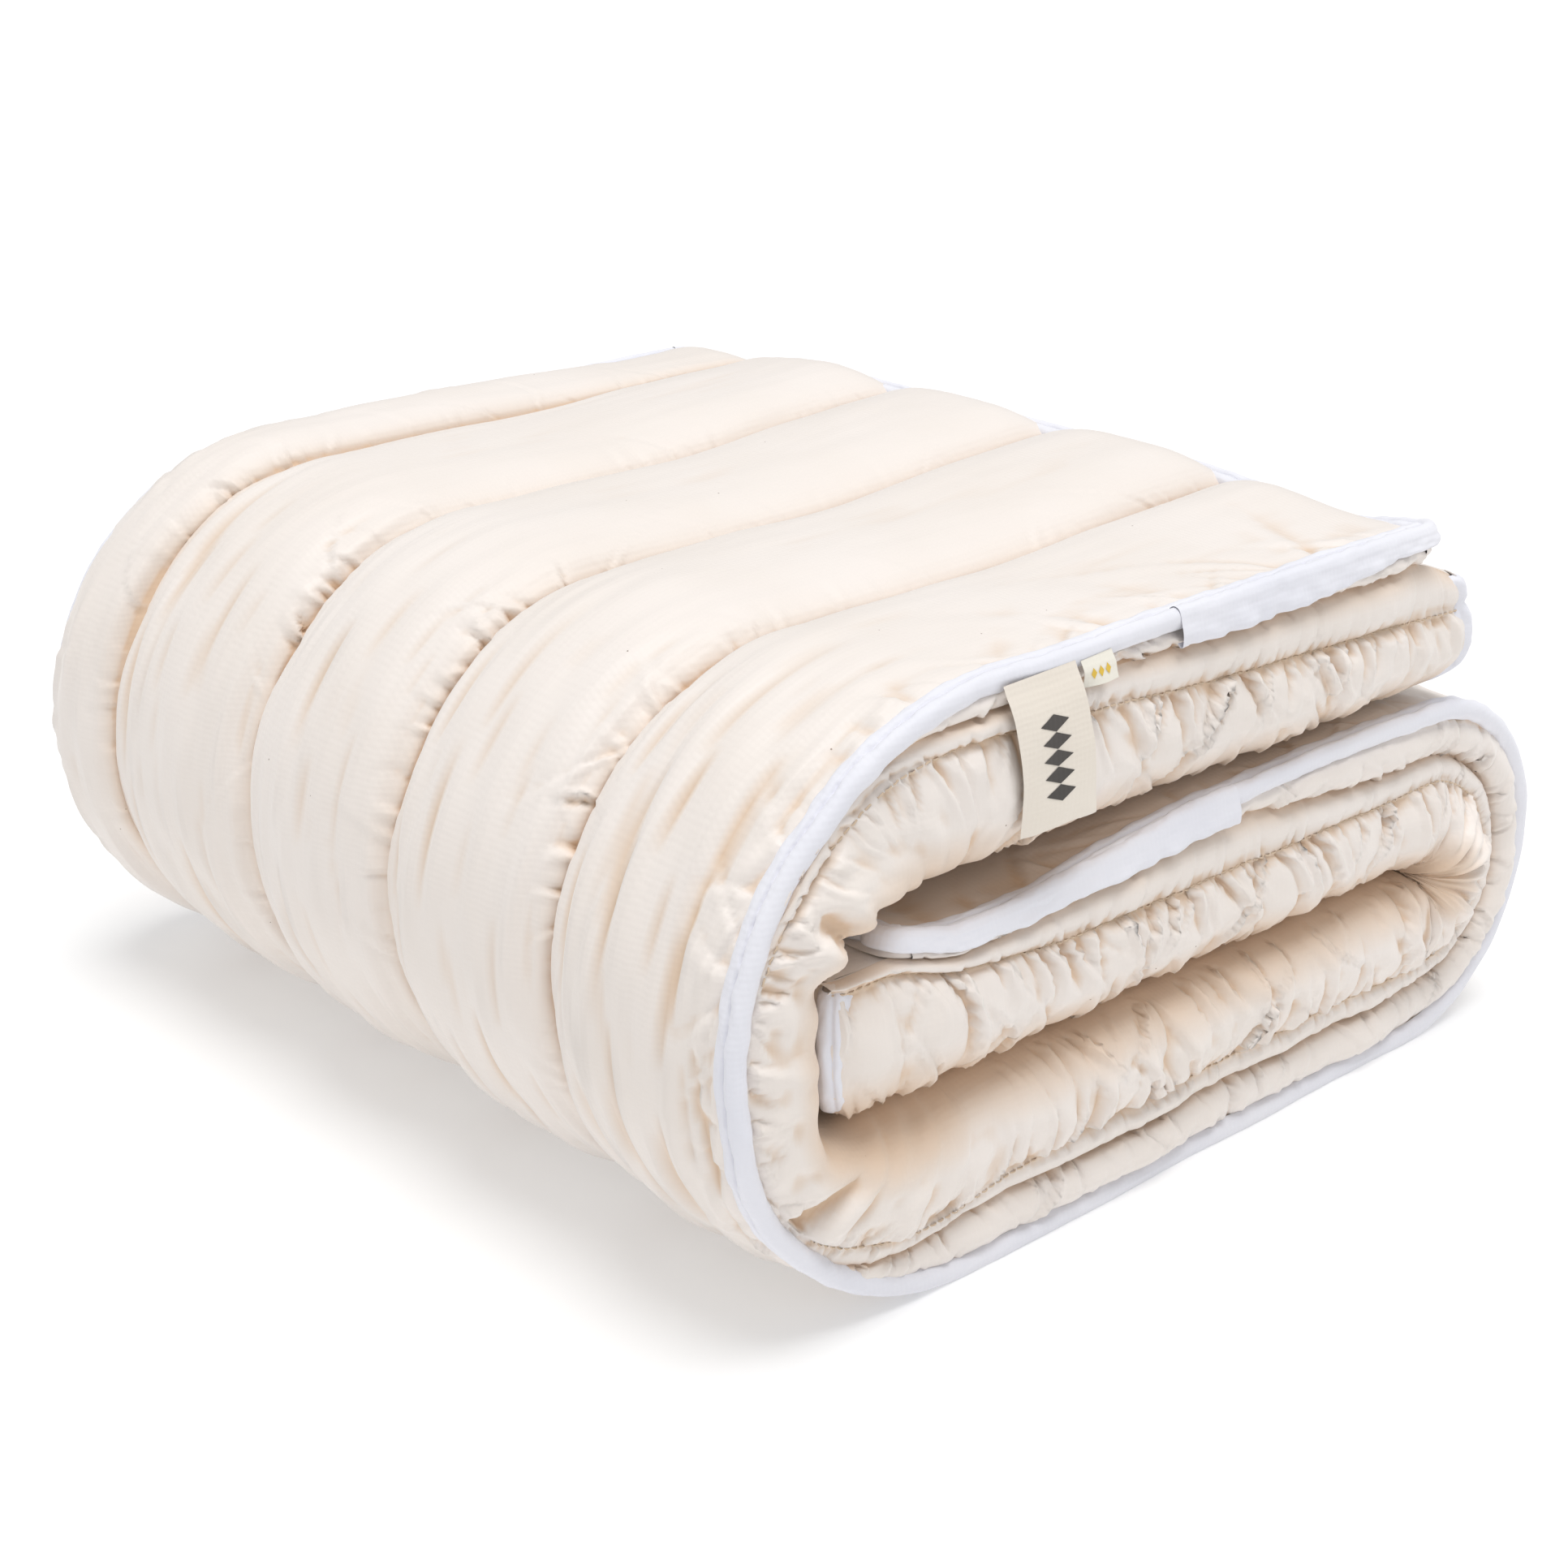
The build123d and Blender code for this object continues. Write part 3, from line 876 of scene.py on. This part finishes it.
def make_wall(side):
    """One long side, near or far: the pad's edge, the piping and the gathered wall."""
    counts = ((11, PIPING_CELLS, 34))
    spacing = 1.9 * MM
    st = Stations(spacing, OUTER_END - 4 * MM, INNER_END + 4 * MM)
    crevice, stitched = counts[0], counts[0] + counts[1]
    seed = 40 if side == "near" else 60
    profiles = wall_profiles(counts)
    blended = np.einsum("sl,lcp->scp", profile_weights(st), profiles)
    depth, out = blended[..., 0], blended[..., 1]
    depth = move_stitched_line(st, depth, crevice, stitched)
    s = st.s[:, None]
    depth = depth + smooth_noise(s, s * 0, 0.12, seed) * 0.6 * MM
    # the far edge droops with its tape, and past the pad's ends the crevice runs down the ledge
    droop = edge_level(st, "near") - edge_level(st, side)
    ledge = 18 * MM * unit(1 - end_distance(st) / (48 * MM)) ** 1.2
    ledge = ledge * (st.kind != "left")
    above = unit((depth[:, stitched : stitched + 1] - depth) / (36 * MM))
    upper = unit((100 * MM - depth) / (60 * MM))
    depth = depth + upper * droop[:, None] * 0.85 + above * ledge[:, None]
    x, z = depth_points(st, depth, depth[:, stitched])
    flat_depth = profiles[2][:, 0]
    free = free_points(out.shape, [0, crevice, stitched, -1])
    hold_in = 0.25 + 0.75 * free
    out = out + wall_wrinkles(st, flat_depth, crevice, stitched, seed) * hold_in
    swell = smooth_noise(s, flat_depth[None, :] * 0.4, 0.15, seed + 9)
    out = out + swell * 2.0 * MM * free
    # both box ends turn in towards their corner seams
    turn_in = unit(1 - end_distance(st) / (14 * MM))[:, None]
    out = out - 10 * MM * (1 - np.sqrt(1 - (0.9 * turn_in) ** 2))
    plane, sign = SIDES[side]
    # the rounding onto face B is mitred with the end wall's
    inset = np.clip(-out, 0, None) * (flat_depth > 90 * MM)
    left_over = unit(1 - end_distance(st) / (80 * MM))[:, None]
    x = x - np.where(st.s < st.s[-1] / 2, 1, -1)[:, None] * inset * left_over
    target = np.stack([x, plane + sign * out, z], 2)
    points = settle(relax(target, (1.01, 1.004), free, floor=0.3 * MM), st.kind)
    first = int(np.argmin(np.abs(st.x[: st.fold_start] - (OUTER_PAD_END - CORNER))))
    after = st.right_end
    last = after + int(np.argmin(np.abs(st.x[after:] - (INNER_PAD_END + CORNER))))
    flip = side == "near"
    # painted shade on the wall where it rounds onto face B between the layers, and in the crevice
    # under the pad's edge
    painted_shade = 0.85 * unit((flat_depth - 0.086) / 0.026)[None, :]
    painted_shade = painted_shade + 0.6 * np.exp(-(((flat_depth - flat_depth[crevice]) / (2.5 * MM)) ** 2))
    above, below = slice(None, crevice + 1), slice(crevice, None)
    edge = strips(
        f"pad_edge_{side}", st, points[:, above], flip, (first, last), painted_shade[:, above]
    )
    boxing = strips(f"side_{side}", st, points[:, below], flip, painted_shade=painted_shade[:, below])
    return Wall(edge, boxing, st, points, crevice, stitched)


def make_face_b(near, far):
    """The plain underside between the two walls, one grid cut into the same strips."""
    st, a, b = near.st, near.points[:, -1], far.points[:, -1]
    t = np.linspace(0, 1, 60)
    points = a[:, None] + (b - a)[:, None] * t[None, :, None]
    s = st.s[:, None]
    inside = np.sin(math.pi * t)[None, :] ** 0.6
    inside = inside * unit((end_distance(st) / (70 * MM) - 0.3))[:, None]
    rise = smooth_noise(s, t[None, :] * 0.6, 0.16, 31, 1) * 1.4 * MM * inside
    fold = st.bend_weight("left")[:, None]
    streaks = smooth_noise(s, t[None, :] * 0.08, 0.03, 32, 1) * fold * 1.2 * MM * inside
    points[..., 0] -= st.normal[:, :1] * (rise + streaks)
    points[..., 2] -= st.normal[:, 1:] * (rise + streaks)
    from_side = np.minimum(t, 1 - t)[None, :] * (Y_FAR - Y_NEAR)
    # painted shade over the whole underside, darker towards the walls
    painted_shade = 0.35 + 0.45 * np.exp(-from_side / (45 * MM))
    return strips("underside", st, points, flip=True, painted_shade=painted_shade)


# ---- The two free ends ----

# (stand-out from the pad's end, depth below face A) in mm; the boxing ends END_REACH out
END_REACH = 38 * MM
LEDGE = ((-14, 24), (0, 26), (14, 29), (27, 35), (35, 42), (37.5, 46.5), (35, 50.5))
END_WALL = ((35, 50.5), (38.5, 53), (44, 59), (47, 68), (47, 78), (43, 88), (36, 97),
            (25, 105), (12, 111), (-4, 115), (-20, 115.8), (-36, 115.4))
# (along the tape's width from the corner seam, above the cloth) in mm
CORNER_TAPE_SECTION = ((-18, -2.4), (-17.2, 0.6), (-14, 1.5), (-7, 2.0), (-2.6, 1.9), (-1.4, 0.7),
                       (0, 1.9), (3.4, 3.0), (7, 2.6), (9.6, 0.8), (10.6, -2.2))
CORNER_ROWS = 7      # of the patch at each vertical corner; the seam runs down the middle one
END_KIND = {"outer": "top", "inner": "inner"}      # the stretch of the path that each end closes
END_BODY = {"outer": "outer_flap", "inner": "base"}
# X of the pad's end, height of face A there, and the way the end faces
END_SIZES = {"outer": (OUTER_PAD_END, HEIGHT, 1), "inner": (INNER_PAD_END, INNER_TOP, -1)}


def end_piece(which, name, points, flip, shaded=False):
    """A grid at a free end as one piece, which rides on its flap."""
    normals = grid_normals(points) * (-1 if flip else 1)
    shade = cavity_of(points, normals) if shaded else None
    piece = grid_object(f"{which}_{name}", points, normals, flip, shade)
    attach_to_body(piece, END_BODY[which])
    return piece


def make_end(which):
    """The end boxing of the outer or inner flap: the ledge beside the pad, and the end wall."""
    pad_end, top, sign = END_SIZES[which]
    outer = which == "outer"
    counts = ((16, 34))
    runs = [spline(run, n + 1) for run, n in zip((LEDGE, END_WALL), counts)]
    profile = np.concatenate([runs[0][:-1], runs[1]]) * MM
    stitched = counts[0]
    out, depth = profile[:, 0], profile[:, 1]
    spacing = 2.2 * MM
    y = np.linspace(Y_NEAR + 6 * MM, Y_FAR - 6 * MM, round((Y_FAR - Y_NEAR) / spacing))[:, None]
    seed = 150 if outer else 170
    d = depth[None, :]
    below = creases(y, d, seed, depth[stitched], 50, 18, 2.6, 0.3)
    lift = below * 4.2 * (d > depth[stitched])
    ledge = creases(y, out[None, :], seed + 1, 33 * MM, -30, 20, 3, 0.3)
    free = free_points((len(y), len(depth)), [0, stitched, -1])
    lift = (lift + smooth_noise(y, d * 0.4, 0.12, seed + 2) * 1.6) * MM * free
    near_end = np.minimum(y - Y_NEAR, Y_FAR - y)
    turn_in = 9 * MM * (1 - np.sqrt(1 - (0.9 * unit(1 - near_end / (18 * MM))) ** 2))
    inset = np.clip(END_REACH - out, 0, None) * (d > 90 * MM)
    y = y + np.where(y < 0, 1, -1) * inset * unit(1 - near_end / (80 * MM))
    on_ledge = unit((END_REACH - out) / (20 * MM)) * (d < depth[stitched])
    x = pad_end + sign * (out + lift * (1 - on_ledge) - turn_in * (1 - on_ledge))
    z = top - depth + on_ledge * ledge * 1.6 * MM * free
    target = np.stack([x, np.broadcast_to(y, x.shape), z], 2)
    points = settle(relax(target, (1.01, 1.004), free), END_KIND[which])
    return end_piece(which, "end_wall", points, not outer, shaded=True), points, stitched


def make_corner(which, side, end_points, end_stitched, wall):
    """Joins a side wall's last row to the end wall's, round a vertical corner seam."""
    outer = which == "outer"
    side_row = wall.points[0 if outer else -1, wall.crevice :]
    end_row = end_points[0 if side == "near" else -1, end_stitched - PIPING_CELLS :]
    t = np.linspace(0, 1, CORNER_ROWS)[:, None, None]
    across = side_row + (end_row - side_row) * t
    outward = np.array([END_SIZES[which][2], SIDES[side][1], 0]) * math.sqrt(0.5)
    grid = across + outward * (np.sin(math.pi * t) * 3.2 * MM)
    return end_piece(which, f"corner_{side}", grid, outer != (side == "near")), grid


def make_ledge_side(which, side, end_points, end_stitched, wall, corner):
    """Closes the ledge beside the pad's end against the top of a long side's boxing."""
    way = END_SIZES[which][2]
    reach = wall.st.count // 8
    rows = slice(0, reach) if which == "outer" else slice(-reach, None)
    top_of_wall = wall.points[rows, wall.crevice]
    top_of_wall = top_of_wall[np.argsort(way * top_of_wall[:, 0])]
    ledge = end_points[0 if side == "near" else -1, : end_stitched - PIPING_CELLS + 1]
    place = np.linspace(way * ledge[0, 0], max(way * ledge[-1, 0], way * top_of_wall[-1, 0]), 24)
    a, b = (places_on(line, way * line[:, 0], place) for line in (top_of_wall, ledge))
    t = np.linspace(0, 1, len(corner))[None, :, None]
    grid = a[:, None] + (b - a)[:, None] * t
    grid[-1] = corner[:, 0]
    return end_piece(which, f"ledge_{side}", grid, grid_normals(grid)[..., 2].mean() < 0)


def make_corner_tape(which, side, grid):
    """White tape over a corner seam: a flat strip each side of a stitched groove."""
    _, top, way = END_SIZES[which]
    outer = which == "outer"
    centre = grid[CORNER_ROWS // 2]
    depth = top - centre[:, 2]
    keep = np.linspace(max(26 * MM, depth.min() + MM), 106 * MM, 44)
    order = np.argsort(depth)
    line = places_on(centre[order], depth[order], keep)
    section = spline(CORNER_TAPE_SECTION, 34) * MM
    s = keep - keep[0]
    along = section[None, :, 0]
    wave = smooth_noise(s[:, None], along * 2, 0.02, 140 + int(outer), 2) * 0.35 * MM
    lift = section[None, :, 1] + wave
    ends = np.minimum(s, s[-1] - s)[:, None]
    lift = lift - 3.5 * MM * (1 - unit(ends / (3 * MM))) ** 2
    # positive along runs round onto the end, negative along onto the long side
    corner_x, corner_y = np.array([way, 0, 0]), np.array([0, SIDES[side][1], 0])
    turn = np.clip(along / (9 * MM), -1, 1) * math.pi / 4 + math.pi / 4
    normal = np.cos(turn)[..., None] * corner_y + np.sin(turn)[..., None] * corner_x
    tangent = -np.sin(turn)[..., None] * corner_y + np.cos(turn)[..., None] * corner_x
    points = line[:, None] + tangent * along[..., None] * 0.92 + normal * lift[..., None]
    return end_piece(which, f"corner_tape_{side}_white", points, outer == (side == "near"))


# ---- Bias binding ----

# (in from the side plane, above face A's edge) in mm: flat strip, stitched groove, rounded edge
BINDING_SECTION = (
    (14.6, -13), (14.2, -6), (13.0, -1.2), (10.8, 0.4), (7.8, 0.9), (5.8, 0.2), (4.7, -2.0),
    (3.6, 0.7), (0.8, 1.5), (-1.8, 0.3), (-3.4, -2.4), (-3.7, -5.4),
    (-2.9, -8.2), (-1.1, -10.4), (2.5, -11.8),
)


def binding_line(st, side):
    """The edge of face A that the binding follows, and its outward and sideways directions."""
    plane, sign = SIDES[side]
    level = edge_level(st, side)
    x = st.x + st.normal[:, 0] * level
    z = st.z + st.normal[:, 1] * level
    line = np.stack([x, np.full_like(x, plane), z], 1)
    up = np.stack([st.normal[:, 0], 0 * x, st.normal[:, 1]], 1)
    aside = np.broadcast_to(np.array([0.0, sign, 0.0]), up.shape)
    return line, up, aside


def sweep_section(line, up, aside, section, s, seed):
    """Sweeps a (inset, rise) section along a line, with the tape's small waves."""
    inset, rise = section[None, :, 0], section[None, :, 1]
    wave = smooth_noise(s[:, None], inset * 2.2, 0.020, seed, 2) * 0.30 * MM
    pucker = smooth_noise(s[:, None], inset * 0, 0.011, seed + 1, 2) * 0.55 * MM
    groove = np.exp(-(((inset - 4.7 * MM) / (1.4 * MM)) ** 2))
    drift = smooth_noise(s[:, None], inset * 0, 0.17, seed + 2) * 0.8 * MM
    lifted = rise + wave + pucker * groove + drift * 0.4
    sideways = inset + drift + wave * 0.5
    points = line[:, None] + up[:, None] * lifted[..., None] - aside[:, None] * sideways[..., None]
    points[..., 2] = np.maximum(points[..., 2], 0.2 * MM)
    return points


def make_side_binding(side):
    """White bias tape over a long edge of face A, following the whole fold."""
    spacing = 2.5 * MM
    st = Stations(spacing, OUTER_PAD_END - 12 * MM, INNER_PAD_END + 12 * MM)
    section = spline(BINDING_SECTION, 32) * MM
    line, up, aside = binding_line(st, side)
    points = sweep_section(line, up, aside, section, st.s, 80 if side == "near" else 90)
    points = settle(points, st.kind)
    return strips(f"tape_{side}", st, points, flip=side == "near")


def end_path(which):
    """The edge of face A round a free end, from the near side to the far side."""
    pad_end, top, way = END_SIZES[which]
    places, asides = [], []

    def corner(y_centre, first):
        for angle in np.linspace(first, first + 90, 10):
            c, s = math.cos(math.radians(angle)), math.sin(math.radians(angle))
            places.append((pad_end + way * CORNER * (c - 1), y_centre + CORNER * s, top))
            asides.append((way * c, s, 0))

    corner(Y_NEAR + CORNER, -90)
    for y in np.linspace(Y_NEAR + CORNER, Y_FAR - CORNER, 260)[1:-1]:
        places.append((pad_end, y, top))
        asides.append((way, 0, 0))
    corner(Y_FAR - CORNER, 0)
    line, aside = np.array(places), np.array(asides, float)
    line[:, 2] += end_level(line[:, 1], which)
    up = np.broadcast_to(np.array([0.0, 0.0, 1.0]), line.shape)
    return line, up, aside, lengths_along(line)


def make_end_binding(which):
    """The tape across a free end, round both corners to where the side tapes begin."""
    line, up, aside, s = end_path(which)
    section = spline(BINDING_SECTION, 32) * MM
    points = sweep_section(line, up, aside, section, s, 130)
    return end_piece(which, "end_tape", settle(points, END_KIND[which]), which == "inner")


def make_end_pad_edge(which):
    """The pad's own edge round a free end, between the tape and the crevice."""
    line, up, aside, s = end_path(which)
    samples = 12
    across, beside = spline(END_EDGE, samples) * MM, spline(TUCKED_EDGE, samples) * MM
    inward = smooth_step(np.minimum(s, s[-1] - s) / (30 * MM))[:, None, None]
    profile = beside + (across - beside) * inward
    depth, out = profile[..., 0], profile[..., 1]
    gathers = creases(s[:, None], across[None, :, 0], 190, 38 * MM, -22, 23, 3.4, 0.4)
    out = out + gathers * 1.8 * MM * inward[..., 0] * np.sin(math.pi * np.linspace(0, 1, samples))
    points = line[:, None] + aside[:, None] * out[..., None] - up[:, None] * depth[..., None]
    return end_piece(which, "end_pad_edge", settle(points, END_KIND[which]), which == "inner")


# ---- Laps, stitches and labels ----

# (in from the side plane, above face A's edge) in mm, over the tape's rounded edge and below it
LAP_SECTION = ((5.0, -1.6), (3.4, 1.3), (0.6, 2.3), (-2.8, 1.0), (-4.6, -2.4), (-5.2, -6),
               (-6.2, -10), (-7.0, -14), (-7.2, -17), (-6.4, -19.6), (-4.8, -20), (-3, -18))
LAP_WRAP = 10 * MM      # how far the lap goes on round the corner


def make_lap(which):
    """The wide end of the tape, which laps down over the pad's edge near a free end."""
    outer = which == "outer"
    pad_end, _, way = END_SIZES[which]
    node = f"{which}_binding_lap"
    x_from = low(node)[0] if outer else high(node)[0]
    line, up, aside, s = end_path(which)
    wrap = s <= CORNER * math.pi / 2 + LAP_WRAP
    straight = np.linspace(x_from, pad_end - way * CORNER, 150)[:-1]
    run = np.stack([straight, 0 * straight + Y_NEAR, 0 * straight + line[0, 2]], 1)
    line = np.concatenate([run, line[wrap]])
    aside = np.concatenate([np.tile([0.0, -1.0, 0.0], (len(run), 1)), aside[wrap]])
    up = np.tile([0.0, 0.0, 1.0], (len(line), 1))
    s = lengths_along(line)
    section = spline(LAP_SECTION, 26) * MM
    points = sweep_section(line, up, aside, section, s, 205 if outer else 207)
    ripple = smooth_noise(s[:, None], section[None, :, 1] * 1.5, 0.03, 208, 2) * 0.8 * MM
    low_down = unit(-section[None, :, 1] / (20 * MM))
    points = points + aside[:, None] * (ripple * low_down)[..., None]
    # the lap is pulled in under the tape towards the corner: from where along it, and to what share
    first, least = (0.35, 0.50) if outer else (0.05, 0.50)
    drop = 1 - (1 - least) * smooth_step((s / s[-1] - first) / (0.95 - first))
    fall = points[..., 2] - line[:, 2:3]
    points[..., 2] = line[:, 2:3] + np.where(fall < 0, fall * drop[:, None], fall)
    centre = (line - aside * MM - up * 5 * MM)[:, None]
    shut = unit((s[-1] - s) / (14 * MM))[:, None, None] ** 0.5
    points = centre + (points - centre) * (0.55 + 0.45 * shut)
    return end_piece(which, "tape_lap", settle(points, END_KIND[which]), not outer)


def thread_mesh(name, line, normals):
    """A row of stitches along a line of points: small rounded bars that dip in at both ends."""
    length, gap, width = 4.4 * MM, 1.3 * MM, 0.55 * MM
    s = lengths_along(line)
    verts, faces = [], []
    across = ((-1, 0), (-0.6, 0.8), (0.6, 0.8), (1, 0))
    for first in np.arange(s[0] + gap, s[-1] - length, length + gap):
        here = np.linspace(first, first + length, 5)
        p, n = places_on(line, s, here), places_on(normals, s, here)
        n /= np.linalg.norm(n, axis=1, keepdims=True)
        t = np.gradient(p, axis=0)
        t /= np.linalg.norm(t, axis=1, keepdims=True)
        b = np.cross(t, n)
        lift = np.array([-0.5, 0.35, 0.55, 0.35, -0.5]) * MM
        base = len(verts)
        for k in range(5):
            for a, h in across:
                verts.append(p[k] + b[k] * a * width + n[k] * (lift[k] + h * width))
        for k in range(4):
            for j in range(3):
                q = base + k * 4 + j
                faces.append([q, q + 1, q + 5, q + 4])
    return mesh_object(name, verts, faces)


HIDDEN_TURN = (0.84, 1.90)      # radians of the left fold where its boxing hides the stitches


def make_wall_stitches(side, wall):
    """The topstitching of a long side, apart from the middle of the left fold."""
    _, _, st, points, _, stitched = wall
    normals = grid_normals(points) * SIDES[side][1]
    made = []
    shown = (st.kind != "left") | (st.turn < HIDDEN_TURN[0]) | (st.turn > HIDDEN_TURN[1])
    for part, first, last, k in st.spans():
        rows = np.arange(first, last + 1)[shown[first : last + 1]]
        if len(rows) < 8:
            continue
        line, up = points[rows, stitched], normals[rows, stitched]
        up = up / np.linalg.norm(up, axis=1, keepdims=True)
        row = thread_mesh(f"{part}_stitches_{side}", line + up * 0.3 * MM, up)
        attach(row, part, k)
        made.append(row)
    return made


def make_end_stitches(which, points, stitched):
    """The topstitching across a free end."""
    up = grid_normals(points)[:, stitched] * END_SIZES[which][2]
    row = thread_mesh(f"{which}_end_stitches", points[:, stitched] + up * 0.3 * MM, up)
    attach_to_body(row, END_BODY[which])
    return row


def label_sheet(node, name, hang, slant, seed):
    """A woven label hung from under the tape: hang gives stand-out against drop, in mm."""
    lo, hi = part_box(node)
    width, drop = hi[0] - lo[0], hi[2] - lo[2]
    rows, columns = ((44, 30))
    v = np.linspace(0, 1, rows)[:, None]
    u = np.linspace(0, 1, columns)[None, :]
    down = v * drop
    stand = np.interp(v[:, 0] * drop / MM, [h[0] for h in hang], [h[1] for h in hang])
    smooth = np.convolve(np.pad(stand, 4, mode="edge"), np.ones(9) / 9, mode="valid")
    curl = (2 * u - 1) ** 2 * unit(v - 0.5) * -2.5 + (u - 0.5) * (v**1.5) * 3.0
    wave = smooth_noise(down, u * width, 0.045, seed, 2) * 0.7 * v
    y = Y_NEAR - (smooth[:, None] + curl + wave) * MM
    x = lo[0] - 3 * MM + u * width + slant * v
    z = hi[2] + 5 * MM - down + 0 * u + (u - 0.5) * 1.5 * MM
    points = np.stack([np.broadcast_to(x, y.shape), y, z], 2)
    normals = grid_normals(points) * -1
    sheet = grid_object(name, points, normals, flip=True)
    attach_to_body(sheet, node)
    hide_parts(node)
    return sheet, points, normals


def label_print(name, body, points, normals, marks):
    """Printed lozenges on a label: each mark is (u, v, half width, half height) on the sheet."""
    verts, faces = [], []
    rows, columns = points.shape[:2]

    def at(u, v):
        i, j = v * (rows - 1), u * (columns - 1)
        a, b = int(min(i, rows - 2)), int(min(j, columns - 2))
        f, g = i - a, j - b
        p = points[a : a + 2, b : b + 2]
        n = normals[a, b]
        mixed = (1 - f) * ((1 - g) * p[0, 0] + g * p[0, 1]) + f * ((1 - g) * p[1, 0] + g * p[1, 1])
        return mixed + n * 0.25 * MM

    for u, v, half_u, half_v in marks:
        base = len(verts)
        verts.append(at(u, v))
        corners_and_sides = ((1, 0), (0.5, 0.5), (0, 1), (-0.5, 0.5))
        for a, b in (*corners_and_sides, *((-a, -b) for a, b in corners_and_sides)):
            verts.append(at(u + a * half_u, v + b * half_v))
        for k in range(8):
            faces.append([base, base + 1 + k, base + 1 + (k + 1) % 8])
    piece = mesh_object(name, verts, faces)
    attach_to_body(piece, body)
    return piece


# ---- The model: materials, pieces, finishes and labels ----

make_camera()
make_studio()
cotton = cloth_material(
    "cotton_cover", (0.86, 0.80, 0.755), (0.83, 0.765, 0.71), 0.2, 0.5, painted_shade_colour=(0.73, 0.55, 0.40)
)
white = cloth_material("binding_white", (0.83, 0.83, 0.88), (0.78, 0.785, 0.85), 0, 0.7, bump=0.35)
thread = cloth_material("thread", (0.70, 0.56, 0.42), (0.64, 0.50, 0.36), 0, 0.7)
natural = cloth_material(
    "label_natural", (0.84, 0.775, 0.69), (0.80, 0.73, 0.64), 0.2, 0.85, weave=100.0, bump=0.4
)
ivory = cloth_material("label_ivory", (0.86, 0.83, 0.74), (0.83, 0.79, 0.70), 0, 0.6, weave=120.0)
ink = cloth_material("label_ink", (0.06, 0.055, 0.05), (0.09, 0.08, 0.075), 0, 0.8)
gold = cloth_material("label_gold", (0.80, 0.55, 0.08), (0.72, 0.47, 0.06), 0, 0.6)

quilt = make_quilt()
walls = {side: make_wall(side) for side in SIDES}
underside = make_face_b(walls["near"], walls["far"])
ends = {which: make_end(which) for which in END_SIZES}
corners, ledges = {}, []
for which, (_, end_points, end_stitched) in ends.items():
    for side in SIDES:
        corners[which, side] = make_corner(which, side, end_points, end_stitched, walls[side])
        corner = corners[which, side][1]
        ledges.append(make_ledge_side(which, side, end_points, end_stitched, walls[side], corner))
side_tape = {side: make_side_binding(side) for side in SIDES}
end_tape = {which: make_end_binding(which) for which in ends}
corner_tape = {key: make_corner_tape(*key, grid) for key, (_, grid) in corners.items()}
laps = {which: make_lap(which) for which in ends}
pad_edge = {which: make_end_pad_edge(which) for which in ends}
stitches = [row for side in SIDES for row in make_wall_stitches(side, walls[side])]
stitches += [make_end_stitches(which, points, row) for which, (_, points, row) in ends.items()]

stuffed = [*quilt.values(), *underside.values(), *pad_edge.values(), *ledges]
for wall in walls.values():
    stuffed += [*wall.edge.values(), *wall.boxing.values()]
stuffed += [end[0] for end in ends.values()] + [corner[0] for corner in corners.values()]
paint(stuffed, cotton)
paint([*side_tape["near"].values(), *side_tape["far"].values()], white)
paint([*end_tape.values(), *corner_tape.values(), *laps.values()], white)
paint(stitches, thread)

# how each label hangs, as (drop, stand-out) in mm, and its printed lozenges
LARGE_HANG = (
    (0, 3), (4, 6), (12, 10), (22, 13.5), (34, 15.5), (48, 16.5), (60, 17.5), (72, 17), (84, 15.5),
)
LARGE_MARKS = [(0.5, v, 0.20, 0.055) for v in (0.30, 0.415, 0.53, 0.645, 0.76)]
SMALL_HANG = ((0, 4.5), (6, 8), (15, 9.5))
SMALL_MARKS = [(u, 0.55, 0.085, 0.2) for u in (0.28, 0.5, 0.72)]
large, large_points, large_normals = label_sheet(
    "large_label", "large_care_label", LARGE_HANG, 8 * MM, 210
)
small, small_points, small_normals = label_sheet(
    "small_label", "small_ivory_label", SMALL_HANG, 1 * MM, 220
)
large_print = label_print(
    "large_label_print", "large_label", large_points, large_normals, LARGE_MARKS
)
small_print = label_print(
    "small_label_print", "small_label", small_points, small_normals, SMALL_MARKS
)
paint([large], natural)
paint([small], ivory)
paint([large_print], ink)
paint([small_print], gold)

# ---- Which CAD solids each piece stands for ----

STUFFING = ("quilt_cover", "quilt_batting", "core")
for part in ["outer"] + [f"fold_{k}" for k in range(1, STEPS)]:
    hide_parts(*[f"{part}_{kind}" for kind in STUFFING])
for part in ("bottom", "right_fold", "inner"):
    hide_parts(*[f"{part}_{kind}" for kind in STUFFING])
for part in ("outer", "base"):
    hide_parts(f"{part}_under_panel")
    for side in walls:
        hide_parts(f"{part}_boxing_{side}")
        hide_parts(f"{part}_binding_{side}")
for k in range(1, STEPS):
    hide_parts(f"fold_{k}_casing")
    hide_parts(f"fold_{k}_binding")
for which in ends:
    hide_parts(f"{which}_end_boxing")
    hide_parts(f"{which}_end_binding")
    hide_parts(f"{which}_binding_lap")
for (which, side), piece in corner_tape.items():
    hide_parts(f"{which}_corner_tape_{side}")
